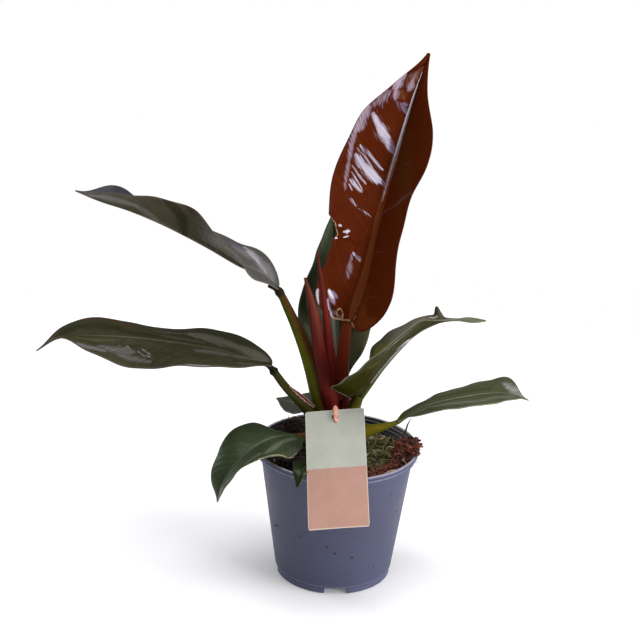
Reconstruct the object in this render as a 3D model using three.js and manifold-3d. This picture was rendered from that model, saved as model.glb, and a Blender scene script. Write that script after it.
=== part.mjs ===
// Potted philodendron: a nursery pot of soil with bark and moss, a short stem, nine leaves on their
// stalks, two rolled new leaves, and a card on a cord. Millimetres, +Z up, the front towards -Y.
import * as THREE from "three";
import { mergeVertices } from "three/addons/utils/BufferGeometryUtils.js";
import Module from "manifold-3d";

const wasm = await Module();
wasm.setup();

// ---- Driving dimensions -------------------------------------------------------------------------
const gap = 0.3; // left between pieces that touch

const pot = {
  height: 100,
  rimRadius: 60,
  rimLipHeight: 3.6,
  rimLedgeHeight: 3.4,
  rimLedgeRadius: 58.4,
  wallTopRadius: 55.7,
  wallFootRadius: 43.4,
  footRadius: 42.4,
  footHeight: 5.4,
  wallThickness: 1.5,
  recessHeight: 3,
  notchWidth: 17,
  notchHeight: 5,
  notchCount: 4,
  notchAngle: -87,
  sides: 48,
};

// The soil's chips lie between two radii, clear of the moss and bark at the front right.
const soil = {
  level: 91,
  roomTop: 98,
  mound: 4.5,
  moundRadius: 24,
  ripple: 0.9,
  chips: 12,
  chipsFrom: 20,
  chipsTo: 47,
  clearX: 14,
  clearY: 34,
};

// Moss and bark are pads that follow a ring of the pot, each round an angle and a radius.
const moss = { angle: -14, angleHalf: 40, radius: 31, radiusHalf: 11.5, lift: 2.6 };
const bark = {
  angle: -26,
  angleHalf: 43,
  radius: 48,
  radiusHalf: 5.4,
  lift: 3.2,
  heapAngle: 1,
  heapSpread: 13,
  heap: 10,
  chips: 20,
  chipLevel: 96,
  chipRise: 7.4,
  chipMiddle: 51,
  chipReach: 14,
  twig: { course: [[49.3, 2, 94], [53, 2.6, 104], [57.5, 2, 114.5]], radius: [1.4, 1.1, 0.5] },
};

const crown = { foot: 70, radius: 12.5, shoulder: 106, top: 121, topRadius: 7 };

const blade = { ribThickness: 0.9, edgeThickness: 0.6, rows: 21, ribHalfWidth: 0.09 };

// Each leaf: the course of its rib, the heading it was unrolled along, and at even stations from base
// to tip its half-widths and the angle at which each half rises from the rib. Left and right are
// seen along the heading, from above. A round base widens as a quarter circle does.
const leaves = {
  tall: {
    color: 0x5a1c0c,
    rib: [[6, 12, 191], [15.4, 18, 221], [22, 24, 254], [30.1, 28, 291], [37, 30, 321], [43.7, 30, 349],
      [53, 24, 383]],
    heading: 90,
    roll: -12,
    left: [34, 35, 33, 40, 44, 41, 35, 18.5, 1.2],
    right: [22, 31, 26.5, 24.5, 24.5, 30.5, 24.5, 9, 1],
    foldLeft: [12, 12],
    foldRight: [58, 60, 60, 60, 60, 60, 55, 50, 40],
    lobeLeft: 8,
    lobeRight: 15,
    round: 0.1,
    rows: 25,
    ridge: 2.6,
  },
  upperLeft: {
    color: 0x33352a,
    rib: [[-46, 0, 219], [-56, 0, 228.3], [-73, 0, 235.6], [-97, 0, 248.9], [-125, 0, 262.5],
      [-149, 0, 271.9], [-170, 0, 278], [-187, 0, 284.5]],
    heading: 180,
    left: [10.5, 24.6, 29.4, 30, 28.5, 25.5, 20.4, 12.6, 0.9],
    right: [7.5, 24.6, 29.4, 30, 28.5, 25.5, 20.6, 13.2, 0.9],
    foldLeft: [10, 3, 26, 33, 56, 54, 47, 43, 10],
    foldRight: [14, 18, 8, 5, 12, 5, 12, 45, 5],
    lobeLeft: 3,
    lobeRight: 3,
    ridge: 1.6,
  },
  middleLeft: {
    color: 0x2f3a25,
    rib: [[-49, -2, 161], [-65, -3, 166], [-93, -4, 173], [-122, -4, 177], [-150, -4, 179.5],
      [-176, -4, 179.5], [-200, -4, 177.5], [-217, -4, 167]],
    heading: 180,
    left: [10.8, 25.4, 30.4, 31, 29.4, 26.4, 21.1, 13, 0.9],
    right: [9.5, 25.4, 30.4, 31, 29.4, 26.4, 21.1, 13.6, 0.9],
    foldLeft: [19, 4, -2, -10, -23, -27.5, -9, 18, 0],
    foldRight: [13, 11, 6, 1, -3.5, 3.5, 20, 16, 5],
    lobeLeft: 3,
    lobeRight: 3,
    ridge: 1.6,
  },
  lowerLeft: {
    color: 0x2b3d22,
    rib: [[-26, -8, 109], [-38, -16, 113], [-54, -26, 111], [-69, -36, 102], [-80, -42, 88], [-84, -44, 72]],
    heading: 205,
    left: [5, 18, 23.5, 24, 22.8, 20.4, 16.3, 10.1, 0.7],
    right: [0.6, 4, 19, 24, 22.8, 20.4, 16.3, 10.1, 0.7],
    foldLeft: [-10, -12, -17, -6, 7, 16, 16, 16, 15],
    foldRight: [-8, -9, 6, 16, 24, 21, 19, 21, 15],
    lobeRight: 2,
    ridge: 1.4,
  },
  backLeft: {
    color: 0x4a5046,
    rib: [[-19, 12, 126], [-28, 22, 122], [-37, 32, 119], [-46, 40, 118]],
    heading: 150,
    left: [8, 11.5, 11, 7, 1],
    right: [6, 13, 15, 10.5, 1.2],
    foldLeft: [-24, -18, -14],
    foldRight: [24, 12, 8],
    rows: 12,
    ridge: 1,
  },
  upright: {
    color: 0x23301f,
    rib: [[-2, 14, 150], [-3, 26, 168], [-5, 38, 190], [-7, 48, 214], [-8, 55, 239], [-8, 57, 260]],
    heading: 90,
    left: [6.2, 22.3, 29.5, 31, 29.5, 25.4, 18.6, 9.3, 0.9],
    right: [9, 20, 26, 28.5, 28.5, 25, 18.6, 9.3, 0.9],
    foldLeft: [25, 36, 32, 29, 38, 47, 50, 45, 25],
    foldRight: [15, 15],
    lobeLeft: 2,
    lobeRight: 2,
    ridge: 1.6,
  },
  foldedRight: {
    color: 0x3c4430,
    rib: [[13.5, -10, 138], [20.5, -12, 151], [32.5, -15, 171], [49.5, -17, 192.2], [63, -18, 201.6],
      [73.5, -18, 205], [86, -18, 205.4], [100, -18, 205.6]],
    heading: 0,
    left: [22, 27, 29, 30, 29.5, 28, 26, 22, 14, 6, 2.5, 5, 1],
    right: [18, 25, 26, 27, 26, 24.5, 23, 20, 14, 7, 2.5, 6, 1],
    foldLeft: [0, 0, 8, 16, 13, 12, 6, 6, 10, 30, 30, 4, 5],
    foldRight: [80, 62, 53, 41, 38, 35, 34, 37, 48, 24, 9, 5, 0],
    lobeLeft: 2,
    lobeRight: 1,
    rows: 26,
    ridge: 1.5,
  },
  lowRight: {
    color: 0x3d4633,
    rib: [[43, 10, 114.6], [53, 14, 120.3], [68, 20, 125.3], [88, 26, 128.5], [113, 34, 129.8],
      [131, 38, 128], [143, 40, 123]],
    heading: 20,
    left: [1.5, 10.5, 15.5, 20, 21, 19.7, 17, 14.4, 0.8],
    right: [2.5, 12.6, 17.9, 21, 21, 20, 16.8, 8.4, 0.8],
    foldLeft: [5, -13, -14, -10, -6, 0, 14, 36, 0],
    foldRight: [30, 12, 8, 7, 4, 1, 1, -6, 0],
    ridge: 1.4,
  },
  tiny: {
    color: 0x22301c,
    rib: [[-16, -20, 99.5], [-21.5, -33, 100], [-26, -49, 103.2], [-28, -55, 102], [-30, -61, 91.5]],
    heading: 235,
    left: [2.5, 6, 6, 5, 0.9],
    right: [2.7, 7.4, 8.6, 6, 0.9],
    foldLeft: [5, 5],
    foldRight: [8, 8],
    rows: 10,
    ridge: 0.8,
  },
};

// Each stalk: its course from the stem to a little way under its blade, and its radius along it.
// They are listed from the innermost outwards: each one lies round those before it.
const stalks = {
  spikeOuter: {
    color: 0x7a1b1f,
    course: [[0, -1, 104], [-4.7, -2, 129], [-9.1, -4, 153], [-14.1, -5, 176.5], [-18.6, -6, 198],
      [-23, -6, 214], [-26.9, -6, 228.7]],
    radius: [5.2, 5.4, 5.3, 4.8, 4.3, 3.5, 1],
  },
  spikeInner: {
    color: 0x8a1f22,
    course: [[-0.5, -1, 136], [-4.9, -3, 155.4], [-8.5, -5, 180.5], [-12.2, -5.5, 205.4], [-15.7, -6, 227.6],
      [-19.1, -6, 249.4]],
    radius: [3.4, 3.8, 3.2, 2.4, 1.7, 0.4],
  },
  tallStalk: {
    color: 0x6e2414,
    course: [[5.5, 4, 104], [2.4, 4, 130], [1.6, 6.5, 152], [2.2, 9, 168], [3.6, 11.6, 186],
      [6.8, 13.6, 197]],
    radius: [7.2, 6, 5, 4.7, 4.2, 2.8],
  },
  upperLeftStalk: {
    color: 0x56602a,
    course: [[-6, 1, 106], [-12.4, 1.5, 125.7], [-18.9, 2, 149], [-23.7, 2, 165.8], [-31.8, 2, 184.7],
      [-39.7, 1, 201.4], [-46.6, 0, 216.4], [-52.5, 0, 220.6]],
    radius: [6, 6.2, 6.2, 5.6, 4.4, 3.4, 2.8, 1.6],
  },
  foldedRightStalk: {
    color: 0x76802f,
    course: [[3, -5, 107], [9.5, -8, 123], [11.5, -9.6, 134], [14.5, -10.6, 143]],
    radius: [3.8, 3.6, 4.6, 3.4],
  },
  middleLeftStalk: {
    color: 0x3c4a1f,
    course: [[-5, -3, 110], [-13, -3.4, 119.5], [-23.5, -4, 130.3], [-31.6, -4, 137.8], [-39.8, -3, 146.4],
      [-49.6, -2, 159], [-55.5, -2.4, 162.6]],
    radius: [4.4, 4.4, 4, 3.4, 3, 2.6, 1.5],
  },
  lowRightStalk: {
    color: 0x8a8430,
    course: [[5, 1, 104], [20.8, 4, 109.4], [31.8, 7, 111.3], [43, 10, 114.4], [48, 12, 118]],
    radius: [4.8, 5, 3.8, 2.3, 1.4],
  },
  uprightStalk: {
    color: 0x35451f,
    course: [[0, 6, 106], [-0.7, 9.5, 119], [-1.2, 12, 134], [-1.9, 14, 148], [-2.6, 19, 158]],
    radius: [3.6, 3.4, 3, 2.6, 1.5],
  },
  lowerLeftStalk: {
    color: 0x7a4a2a,
    course: [[-5, -3, 106], [-14, -5.4, 108.4], [-25.2, -7.6, 109], [-31, -11.4, 111]],
    radius: [3.4, 3.2, 2.7, 1.5],
  },
  backLeftStalk: {
    color: 0x56604a,
    course: [[-5, 4, 106], [-12, 8, 118], [-18.6, 11.6, 125.4], [-22.5, 15.6, 124.6]],
    radius: [2.6, 2.2, 1.8, 1.1],
  },
  tinyStalk: {
    color: 0x35451f,
    course: [[-4, -5, 98], [-11, -12, 99], [-15.5, -19.2, 99.3], [-18.2, -25.4, 99.4]],
    radius: [2.2, 2, 1.5, 0.9],
  },
};

// A dry scrap of sheath that lies along the middle left stalk.
const scrap = {
  rib: [[-17.8, -4, 129], [-22.5, -4, 134.8], [-27.5, -3.6, 140.6], [-32, -3, 145.2]],
  heading: 180,
  roll: 75,
  left: [0.8, 1.7, 1.6, 1.3, 0.4],
  right: [0.8, 1.7, 1.6, 1.3, 0.4],
  foldLeft: [0, 0],
  foldRight: [0, 0],
  rows: 8,
  ridge: 0,
};

const card = {
  width: 42,
  height: 90,
  thickness: 0.8,
  corner: 1.2,
  hole: 2.2,
  holeDrop: 5.5,
  centre: [-0.5, -54.6, 106.4],
  lean: 49.4,
  turn: -11.5,
  slant: -12,
};

const cord = { radius: 1.2, knot: 2.3, loop: 6.4 };

// ---- Small tools --------------------------------------------------------------------------------
const radians = THREE.MathUtils.degToRad;

// A seeded draw between low and high: the same numbers each time.
function makeRandom(seed) {
  let state = seed;
  return (low, high) => {
    state = (state * 1664525 + 1013904223) % 4294967296;
    return low + (high - low) * (state / 4294967296);
  };
}

const vectors = (points) => points.map((p) => new THREE.Vector3(...p));
const courseOf = (points) => new THREE.CatmullRomCurve3(vectors(points), false, "catmullrom", 0.5);

// Values given at even stations, read anywhere between 0 and 1 on a smooth curve through them.
function along(values, s) {
  const curve = new THREE.SplineCurve(values.map((v, i) => new THREE.Vector2(i, v)));
  return curve.getPoint(THREE.MathUtils.clamp(s, 0, 1)).y;
}

// A closed geometry as a solid, and a solid as a geometry again.
function solidOf(geometry) {
  const bare = new THREE.BufferGeometry();
  bare.setAttribute("position", geometry.getAttribute("position").clone());
  bare.setIndex(geometry.index ? geometry.index.clone() : null);
  const merged = mergeVertices(bare, 1e-4);
  const mesh = new wasm.Mesh({
    numProp: 3,
    vertProperties: merged.getAttribute("position").array,
    triVerts: new Uint32Array(merged.index.array),
  });
  return new wasm.Manifold(mesh);
}

function geometryOf(solid) {
  const mesh = solid.getMesh();
  const geometry = new THREE.BufferGeometry();
  geometry.setAttribute("position", new THREE.BufferAttribute(mesh.vertProperties.slice(), 3));
  geometry.setIndex(new THREE.BufferAttribute(mesh.triVerts.slice(), 1));
  geometry.computeVertexNormals();
  return geometry;
}

// The largest body of a cut solid; scraps that the cut left loose are dropped.
function mainBody(solid) {
  const bodies = solid.decompose();
  return bodies.reduce((a, b) => (a.volume() > b.volume() ? a : b));
}

function named(name, geometry, color, roughness) {
  const material = new THREE.MeshStandardMaterial({ color, roughness, metalness: 0 });
  const mesh = new THREE.Mesh(geometry, material);
  mesh.name = name;
  return mesh;
}

// ---- Pot ----------------------------------------------------------------------------------------
// Inner wall radius at a height: the outer taper less the wall.
function innerRadius(z) {
  const top = pot.height - pot.rimLipHeight - pot.rimLedgeHeight;
  const t = (z - pot.footHeight) / (top - pot.footHeight);
  return pot.wallFootRadius + (pot.wallTopRadius - pot.wallFootRadius) * t - pot.wallThickness;
}

// The profile, from the recess under the floor out and up the wall, over the rim and down inside.
// Grown by g, it is the room that the pot takes from its neighbours.
function potSolid(g) {
  const ledge = pot.height - pot.rimLipHeight;
  const wallTop = ledge - pot.rimLedgeHeight;
  const floor = pot.recessHeight + pot.wallThickness;
  const profile = [
    [0, pot.recessHeight - g],
    [pot.footRadius - 3, pot.recessHeight - g],
    [pot.footRadius - 2.4, -g],
    [pot.footRadius + g, -g],
    [pot.footRadius + g, pot.footHeight - 0.6],
    [pot.wallFootRadius + g, pot.footHeight],
    [pot.wallTopRadius + g, wallTop - g],
    [pot.rimLedgeRadius + g, wallTop + 0.5 - g],
    [pot.rimLedgeRadius + g, ledge - g],
    [pot.rimRadius - 0.4 + g, ledge + 0.3 - g],
    [pot.rimRadius + g, pot.height - 0.8],
    [pot.rimRadius - 0.8 + g, pot.height + g],
    [pot.rimRadius - 2.2 - g, pot.height + g],
    [pot.rimRadius - 3 - g, pot.height - 1],
    [innerRadius(wallTop) - g, wallTop - 2],
    [innerRadius(floor) - g, floor + g],
    [0, floor + g],
  ];
  const turned = new THREE.LatheGeometry(
    profile.map(([r, z]) => new THREE.Vector2(r, z)),
    pot.sides,
  );
  turned.rotateX(Math.PI / 2);
  return solidOf(turned);
}

function makePot() {
  let solid = potSolid(0);
  const depth = 8;
  for (let i = 0; i < pot.notchCount; i++) {
    const notch = new THREE.BoxGeometry(depth, pot.notchWidth, 2 * pot.notchHeight);
    notch.translate(pot.footRadius - 0.5, 0, 0);
    notch.rotateZ(radians(pot.notchAngle + (360 / pot.notchCount) * i));
    solid = solid.subtract(solidOf(notch));
  }
  return mainBody(solid);
}

// ---- Relief pads --------------------------------------------------------------------------------
// A closed pad: a disc of rings and sectors for its upper face and one for its lower face, joined
// by a side. Each face is a function of the share of the way out, u, and the angle, a.
function padSolid(rings, sectors, upper, lower, lowerRings) {
  const points = [];
  const faces = [];
  const disc = (face, count, flip) => {
    const start = points.length / 3;
    points.push(...face(0, 0));
    for (let r = 1; r <= count; r++) {
      for (let i = 0; i < sectors; i++) points.push(...face(r / count, (2 * Math.PI * i) / sectors));
    }
    const at = (r, i) => start + 1 + (r - 1) * sectors + (i % sectors);
    const push = (a, b, c) => faces.push(...(flip ? [a, c, b] : [a, b, c]));
    for (let i = 0; i < sectors; i++) {
      push(start, at(1, i), at(1, i + 1));
      for (let r = 1; r < count; r++) {
        push(at(r, i), at(r + 1, i), at(r + 1, i + 1));
        push(at(r, i), at(r + 1, i + 1), at(r, i + 1));
      }
    }
    return (i) => at(count, i);
  };
  const top = disc(upper, rings, false);
  const bottom = disc(lower, lowerRings, true);
  for (let i = 0; i < sectors; i++) {
    faces.push(top(i), bottom(i), bottom(i + 1), top(i), bottom(i + 1), top(i + 1));
  }
  const geometry = new THREE.BufferGeometry();
  geometry.setAttribute("position", new THREE.Float32BufferAttribute(points, 3));
  geometry.setIndex(faces);
  return solidOf(geometry);
}

// A flat chip of bark: a box of three sizes, turned about Z, tipped, and set at a place.
function chipSolid(length, width, thickness, place, turn, tip) {
  const chip = new THREE.BoxGeometry(length, width, thickness);
  chip.rotateX(tip * 0.6);
  chip.rotateY(tip);
  chip.rotateZ(turn);
  chip.translate(...place);
  return solidOf(chip);
}

// ---- Soil ---------------------------------------------------------------------------------------
// Height of the soil: a low mound round the stem and ripples that die out towards the wall.
function soilHeight(x, y) {
  const out = Math.hypot(x, y) / innerRadius(soil.level);
  const calm = 1 - Math.min(1, out) ** 6;
  const ripples = Math.sin(x * 0.31 + 1.3) * Math.cos(y * 0.27) + 0.6 * Math.sin(x * 0.17 - y * 0.37 + 0.5);
  const mound = soil.mound * Math.exp(-((Math.hypot(x, y) / soil.moundRadius) ** 2));
  return soil.level + mound + soil.ripple * ripples * calm;
}

// The soil's body, raised by g where its neighbours must stay clear of it.
function soilBody(g) {
  const topRadius = innerRadius(soil.level) - gap - 0.2;
  const floor = pot.recessHeight + pot.wallThickness + gap;
  const footRadius = innerRadius(floor) - gap;
  const upper = (u, a) => {
    const x = topRadius * u * Math.cos(a);
    const y = topRadius * u * Math.sin(a);
    return [x, y, soilHeight(x, y) + g];
  };
  const lower = (u, a) => [footRadius * u * Math.cos(a), footRadius * u * Math.sin(a), floor];
  return padSolid(7, 34, upper, lower, 1);
}

function makeSoil() {
  const random = makeRandom(11);
  let solid = soilBody(0);
  let placed = 0;
  while (placed < soil.chips) {
    const a = random(0, 2 * Math.PI);
    const r = random(soil.chipsFrom, soil.chipsTo);
    const x = r * Math.cos(a);
    const y = r * Math.sin(a);
    const turn = random(0, Math.PI);
    const length = random(5, 9);
    if (x < soil.clearX || y > soil.clearY) {
      const place = [x, y, soilHeight(x, y) + 0.4];
      solid = solid.add(chipSolid(length, random(2.6, 4), 2.4, place, turn, random(-0.3, 0.3)));
      placed += 1;
    }
  }
  const level = (z) => (u, a) => {
    const r = u * (innerRadius(z) - gap);
    return [r * Math.cos(a), r * Math.sin(a), z];
  };
  const floor = pot.recessHeight + pot.wallThickness + gap;
  solid = solid.intersect(padSolid(1, pot.sides, level(soil.roomTop), level(floor), 1));
  return mainBody(solid.subtract(crownSolid(gap)));
}

// ---- Moss and bark ------------------------------------------------------------------------------
// A pad that follows a ring of the pot: u out from its middle, a round it. It lies on the soil.
function ringPad(pad, height, base) {
  const spot = (u, a) => {
    const r = pad.radius + pad.radiusHalf * u * Math.cos(a);
    const turn = radians(pad.angle + pad.angleHalf * u * Math.sin(a));
    return [r * Math.cos(turn), r * Math.sin(turn), THREE.MathUtils.radToDeg(turn)];
  };
  const upper = (u, a) => {
    const [x, y, turn] = spot(u, a);
    return [x, y, soilHeight(x, y) + base + 0.8 + height(x, y, turn) * (1 - u * u)];
  };
  const lower = (u, a) => {
    const [x, y] = spot(u, a);
    return [x, y, soilHeight(x, y) + base];
  };
  return padSolid(4, 22, upper, lower, 4);
}

function mossSolid(base) {
  const bumps = (x, y) => moss.lift * (1 + 0.45 * Math.sin(x * 0.9) * Math.sin(y * 0.8 + 0.7));
  return ringPad(moss, bumps, base);
}

const makeMoss = () => mainBody(mossSolid(gap).subtract(soilBody(gap)));

function makeBark() {
  const random = makeRandom(29);
  const heapFall = (turn) => Math.exp(-(((turn - bark.heapAngle) / bark.heapSpread) ** 2));
  const height = (x, y, turn) => bark.lift + bark.heap * heapFall(turn) + 0.5 * Math.sin(x) * Math.cos(y);
  let solid = ringPad(bark, height, gap);
  for (let i = 0; i < bark.chips; i++) {
    const inHeap = i % 2 === 0;
    const turn = inHeap ? bark.heapAngle + random(-17, 15) : bark.angle + random(-40, 24);
    const r = inHeap ? random(46, 58) : random(44, 51);
    const x = r * Math.cos(radians(turn));
    const y = r * Math.sin(radians(turn));
    const inwards = 1 - ((r - bark.chipMiddle) / bark.chipReach) ** 2;
    const heapTop = bark.chipLevel + bark.chipRise * heapFall(turn) * inwards;
    const top = inHeap ? heapTop : soil.level + bark.lift + 1;
    const place = [x, y, top + random(-1.2, 1.4)];
    const size = [random(7, 13), random(2.6, 4.6), random(1.8, 2.8)];
    solid = solid.add(chipSolid(...size, place, random(0, 3.1), random(-0.7, 0.7)));
  }
  solid = solid.add(stalkSolid(bark.twig, 0));
  const mossRoom = mossSolid(0).add(mossSolid(2 * gap));
  solid = solid.subtract(potSolid(gap)).subtract(soilBody(gap)).subtract(mossRoom);
  return mainBody(solid);
}

// ---- Stem, stalks and rolled leaves -------------------------------------------------------------
function crownSolid(g) {
  const profile = [
    [0, crown.foot - g],
    [crown.radius - 2 + g, crown.foot - g],
    [crown.radius + g, crown.foot + 18],
    [crown.radius + 0.6 + g, crown.shoulder - 6],
    [crown.radius - 0.6 + g, crown.shoulder + 4],
    [crown.topRadius + 2 + g, crown.top - 3],
    [crown.topRadius - 2 + g, crown.top + g],
    [0, crown.top + 1 + g],
  ];
  const turned = new THREE.LatheGeometry(
    profile.map(([r, z]) => new THREE.Vector2(r, z)),
    16,
  );
  turned.rotateX(Math.PI / 2);
  return solidOf(turned);
}

// A tapering round stalk: a cylinder whose rings are carried along a course. Its radius grows by g.
function stalkSolid({ course, radius }, g) {
  const curve = courseOf(course);
  const steps = 2 * (course.length - 1);
  const frames = curve.computeFrenetFrames(steps, false);
  const tube = new THREE.CylinderGeometry(1, 1, 1, 10, steps);
  const place = tube.getAttribute("position");
  for (let i = 0; i < place.count; i++) {
    const t = place.getY(i) + 0.5;
    const step = Math.round(t * steps);
    const r = along(radius, t) + g;
    const reach = t === 0 ? -g : t === 1 ? g : 0;
    const point = curve.getPointAt(t);
    point.addScaledVector(frames.tangents[step], reach);
    point.addScaledVector(frames.normals[step], r * place.getZ(i));
    point.addScaledVector(frames.binormals[step], r * place.getX(i));
    place.setXYZ(i, point.x, point.y, point.z);
  }
  return solidOf(tube);
}

// ---- Blades -------------------------------------------------------------------------------------
// A blade: points P(s, v) from the rib out to both margins. Each half leaves the rib at its fold
// angle; the lobes reach back at the base. The lower face lies under the upper by the thickness, with
// a ridge along the rib, and both faces are split into triangles alike.
function bladeSolid(leaf) {
  const rows = leaf.rows ?? blade.rows;
  const round = leaf.round ?? 0;
  const curve = courseOf(leaf.rib);
  const across = [-1, -0.55, -blade.ribHalfWidth, 0, blade.ribHalfWidth, 0.55, 1];
  const heading = radians(leaf.heading);
  const side = new THREE.Vector3(Math.sin(heading), -Math.cos(heading), 0);
  const rowPoints = [];
  for (let i = 0; i < rows; i++) {
    const s = (i / (rows - 1)) ** 1.1;
    const centre = curve.getPointAt(s);
    const tangent = curve.getTangentAt(s);
    const out = side.clone().addScaledVector(tangent, -side.dot(tangent)).normalize();
    out.applyAxisAngle(tangent, -radians(leaf.roll ?? 0));
    const up = new THREE.Vector3().crossVectors(out, tangent);
    const grow = Math.max(0.15, Math.sqrt(1 - Math.max(0, 1 - s / Math.max(round, 1e-6)) ** 2));
    const swell = round > 0 ? grow : 1;
    const back = swell * Math.max(0, 1 - s / 0.16) ** 2;
    rowPoints.push(
      across.map((v) => {
        const onRight = v > 0;
        const width = Math.abs(v) * swell * along(onRight ? leaf.right : leaf.left, s);
        const fold = radians(along(onRight ? leaf.foldRight : leaf.foldLeft, s));
        const lobe = (onRight ? leaf.lobeRight : leaf.lobeLeft) ?? 0;
        return centre
          .clone()
          .addScaledVector(out, Math.sign(v) * width * Math.cos(fold))
          .addScaledVector(up, width * Math.sin(fold))
          .addScaledVector(tangent, -lobe * back * v * v);
      }),
    );
  }
  const columns = across.length;
  const held = (k, n) => THREE.MathUtils.clamp(k, 0, n - 1);
  const at = (i, j) => rowPoints[held(i, rows)][held(j, columns)];
  const points = [];
  const under = [];
  for (let i = 0; i < rows; i++) {
    const s = i / (rows - 1);
    for (let j = 0; j < columns; j++) {
      const alongRib = at(i + 1, j).clone().sub(at(i - 1, j));
      const acrossRow = at(i, j + 1).clone().sub(at(i, j - 1));
      const normal = new THREE.Vector3().crossVectors(acrossRow, alongRib).normalize();
      const v = Math.abs(across[j]);
      const plain = THREE.MathUtils.lerp(blade.ribThickness, blade.edgeThickness, v);
      const ridge = v === 0 ? leaf.ridge * (1 - s) ** 0.8 : 0;
      points.push(...at(i, j).clone().addScaledVector(normal, plain / 2).toArray());
      under.push(...at(i, j).clone().addScaledVector(normal, -plain / 2 - ridge).toArray());
    }
  }
  const count = rows * columns;
  const faces = [];
  const quad = (a, b, c, d) => faces.push(a, b, c, a, c, d);
  for (let i = 0; i < rows - 1; i++) {
    for (let j = 0; j < columns - 1; j++) {
      const a = i * columns + j;
      const d = a + columns;
      quad(a, a + 1, d + 1, d);
      faces.push(count + a, count + d + 1, count + a + 1);
      faces.push(count + a, count + d, count + d + 1);
    }
  }
  const last = (rows - 1) * columns;
  for (let j = 0; j < columns - 1; j++) {
    quad(j + 1, j, count + j, count + j + 1);
    quad(last + j, last + j + 1, count + last + j + 1, count + last + j);
  }
  for (let i = 0; i < rows - 1; i++) {
    const [a, b] = [i * columns, (i + 1) * columns];
    quad(a, b, count + b, count + a);
    quad(b + columns - 1, a + columns - 1, count + a + columns - 1, count + b + columns - 1);
  }
  const geometry = new THREE.BufferGeometry();
  geometry.setAttribute("position", new THREE.Float32BufferAttribute([...points, ...under], 3));
  geometry.setIndex(faces);
  return solidOf(geometry);
}

// ---- Card and cord ------------------------------------------------------------------------------
// The card's own frame: x across it, z up it, -y out of its front.
const cardFrame = new THREE.Matrix4().compose(
  new THREE.Vector3(...card.centre),
  new THREE.Quaternion().setFromEuler(
    new THREE.Euler(-radians(card.lean), radians(card.slant), radians(card.turn), "ZXY"),
  ),
  new THREE.Vector3(1, 1, 1),
);
const onCard = (x, y, z) => new THREE.Vector3(x, y, z).applyMatrix4(cardFrame);

function makeCard() {
  const w = card.width / 2;
  const h = card.height / 2;
  const c = card.corner;
  const outline = new THREE.Shape();
  outline.moveTo(-w + c, -h);
  outline.lineTo(w - c, -h);
  outline.absarc(w - c, -h + c, c, -Math.PI / 2, 0);
  outline.lineTo(w, h - c);
  outline.absarc(w - c, h - c, c, 0, Math.PI / 2);
  outline.lineTo(-w + c, h);
  outline.absarc(-w + c, h - c, c, Math.PI / 2, Math.PI);
  outline.lineTo(-w, -h + c);
  outline.absarc(-w + c, -h + c, c, Math.PI, 1.5 * Math.PI);
  const hole = new THREE.Path();
  hole.absarc(0, h - card.holeDrop, card.hole, 0, 2 * Math.PI, true);
  outline.holes.push(hole);
  const flat = new THREE.ExtrudeGeometry(outline, {
    depth: card.thickness,
    bevelEnabled: false,
    curveSegments: 4,
  });
  flat.translate(0, 0, -card.thickness / 2);
  flat.rotateX(Math.PI / 2);
  flat.applyMatrix4(cardFrame);
  return solidOf(flat);
}

// The cord: through the hole to the front, over the top edge, round the folded leaf's stalk and back
// to the hole, where a knot behind the card joins its ends.
function makeCord() {
  const holeZ = card.height / 2 - card.holeDrop;
  const topZ = card.height / 2;
  const off = card.thickness / 2 + cord.radius + gap;
  const stalk = courseOf(stalks.foldedRightStalk.course).getPointAt(0.52);
  const round = (angle, lift) =>
    stalk.clone().add(
      new THREE.Vector3(cord.loop * Math.cos(radians(angle)), cord.loop * Math.sin(radians(angle)), lift),
    );
  const route = new THREE.CatmullRomCurve3(
    [
      onCard(0, off + 1.4, holeZ - 0.4),
      onCard(0, 0, holeZ - 0.4),
      onCard(0, -off - 0.1, holeZ + 0.9),
      onCard(0.2, -off - 0.3, topZ - 1.4),
      onCard(0.4, -off + 0.1, topZ + 1.2),
      onCard(0.7, 0, topZ + off + 0.5),
      onCard(1.4, off + 1.6, topZ + 1),
      round(215, 1.4),
      round(160, 1.6),
      round(105, 1.4),
      round(50, 0.8),
      round(-5, 0),
      round(-60, -1),
      onCard(3.4, off + 3.4, holeZ - 1.6),
      onCard(0.6, off + 1.6, holeZ - 0.6),
    ],
    false,
    "catmullrom",
    0.5,
  );
  const section = new THREE.Shape();
  section.absarc(0, 0, cord.radius, 0, 2 * Math.PI);
  const tube = new THREE.ExtrudeGeometry(section, {
    steps: 36,
    curveSegments: 2,
    bevelEnabled: false,
    extrudePath: route,
  });
  const knot = new THREE.IcosahedronGeometry(cord.knot, 1);
  const seat = onCard(0, card.thickness / 2 + gap + cord.knot, holeZ);
  knot.translate(seat.x, seat.y, seat.z);
  return solidOf(tube).add(solidOf(knot));
}

// ---- The plant put together ---------------------------------------------------------------------
const group = new THREE.Group();
const plant = new THREE.Group();
group.add(plant);

plant.add(named("pot", geometryOf(makePot()), 0x55617c, 0.6));
plant.add(named("soil", geometryOf(makeSoil()), 0x2a1a12, 0.95));
plant.add(named("moss", geometryOf(makeMoss()), 0x4c5420, 0.95));
plant.add(named("bark", geometryOf(makeBark()), 0x5c2a1a, 0.9));

// Stalks from the innermost outwards; each gives way to those before it.
const grownStalks = [];
let crownBody = crownSolid(0);
for (const [name, stalk] of Object.entries(stalks)) {
  let solid = stalkSolid(stalk, 0);
  for (const earlier of grownStalks) solid = solid.subtract(earlier);
  const grown = stalkSolid(stalk, gap);
  crownBody = crownBody.subtract(grown);
  grownStalks.push(grown);
  plant.add(named(name, geometryOf(mainBody(solid)), stalk.color, 0.45));
}
plant.add(named("crown", geometryOf(mainBody(crownBody)), 0x5a2018, 0.6));

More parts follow.
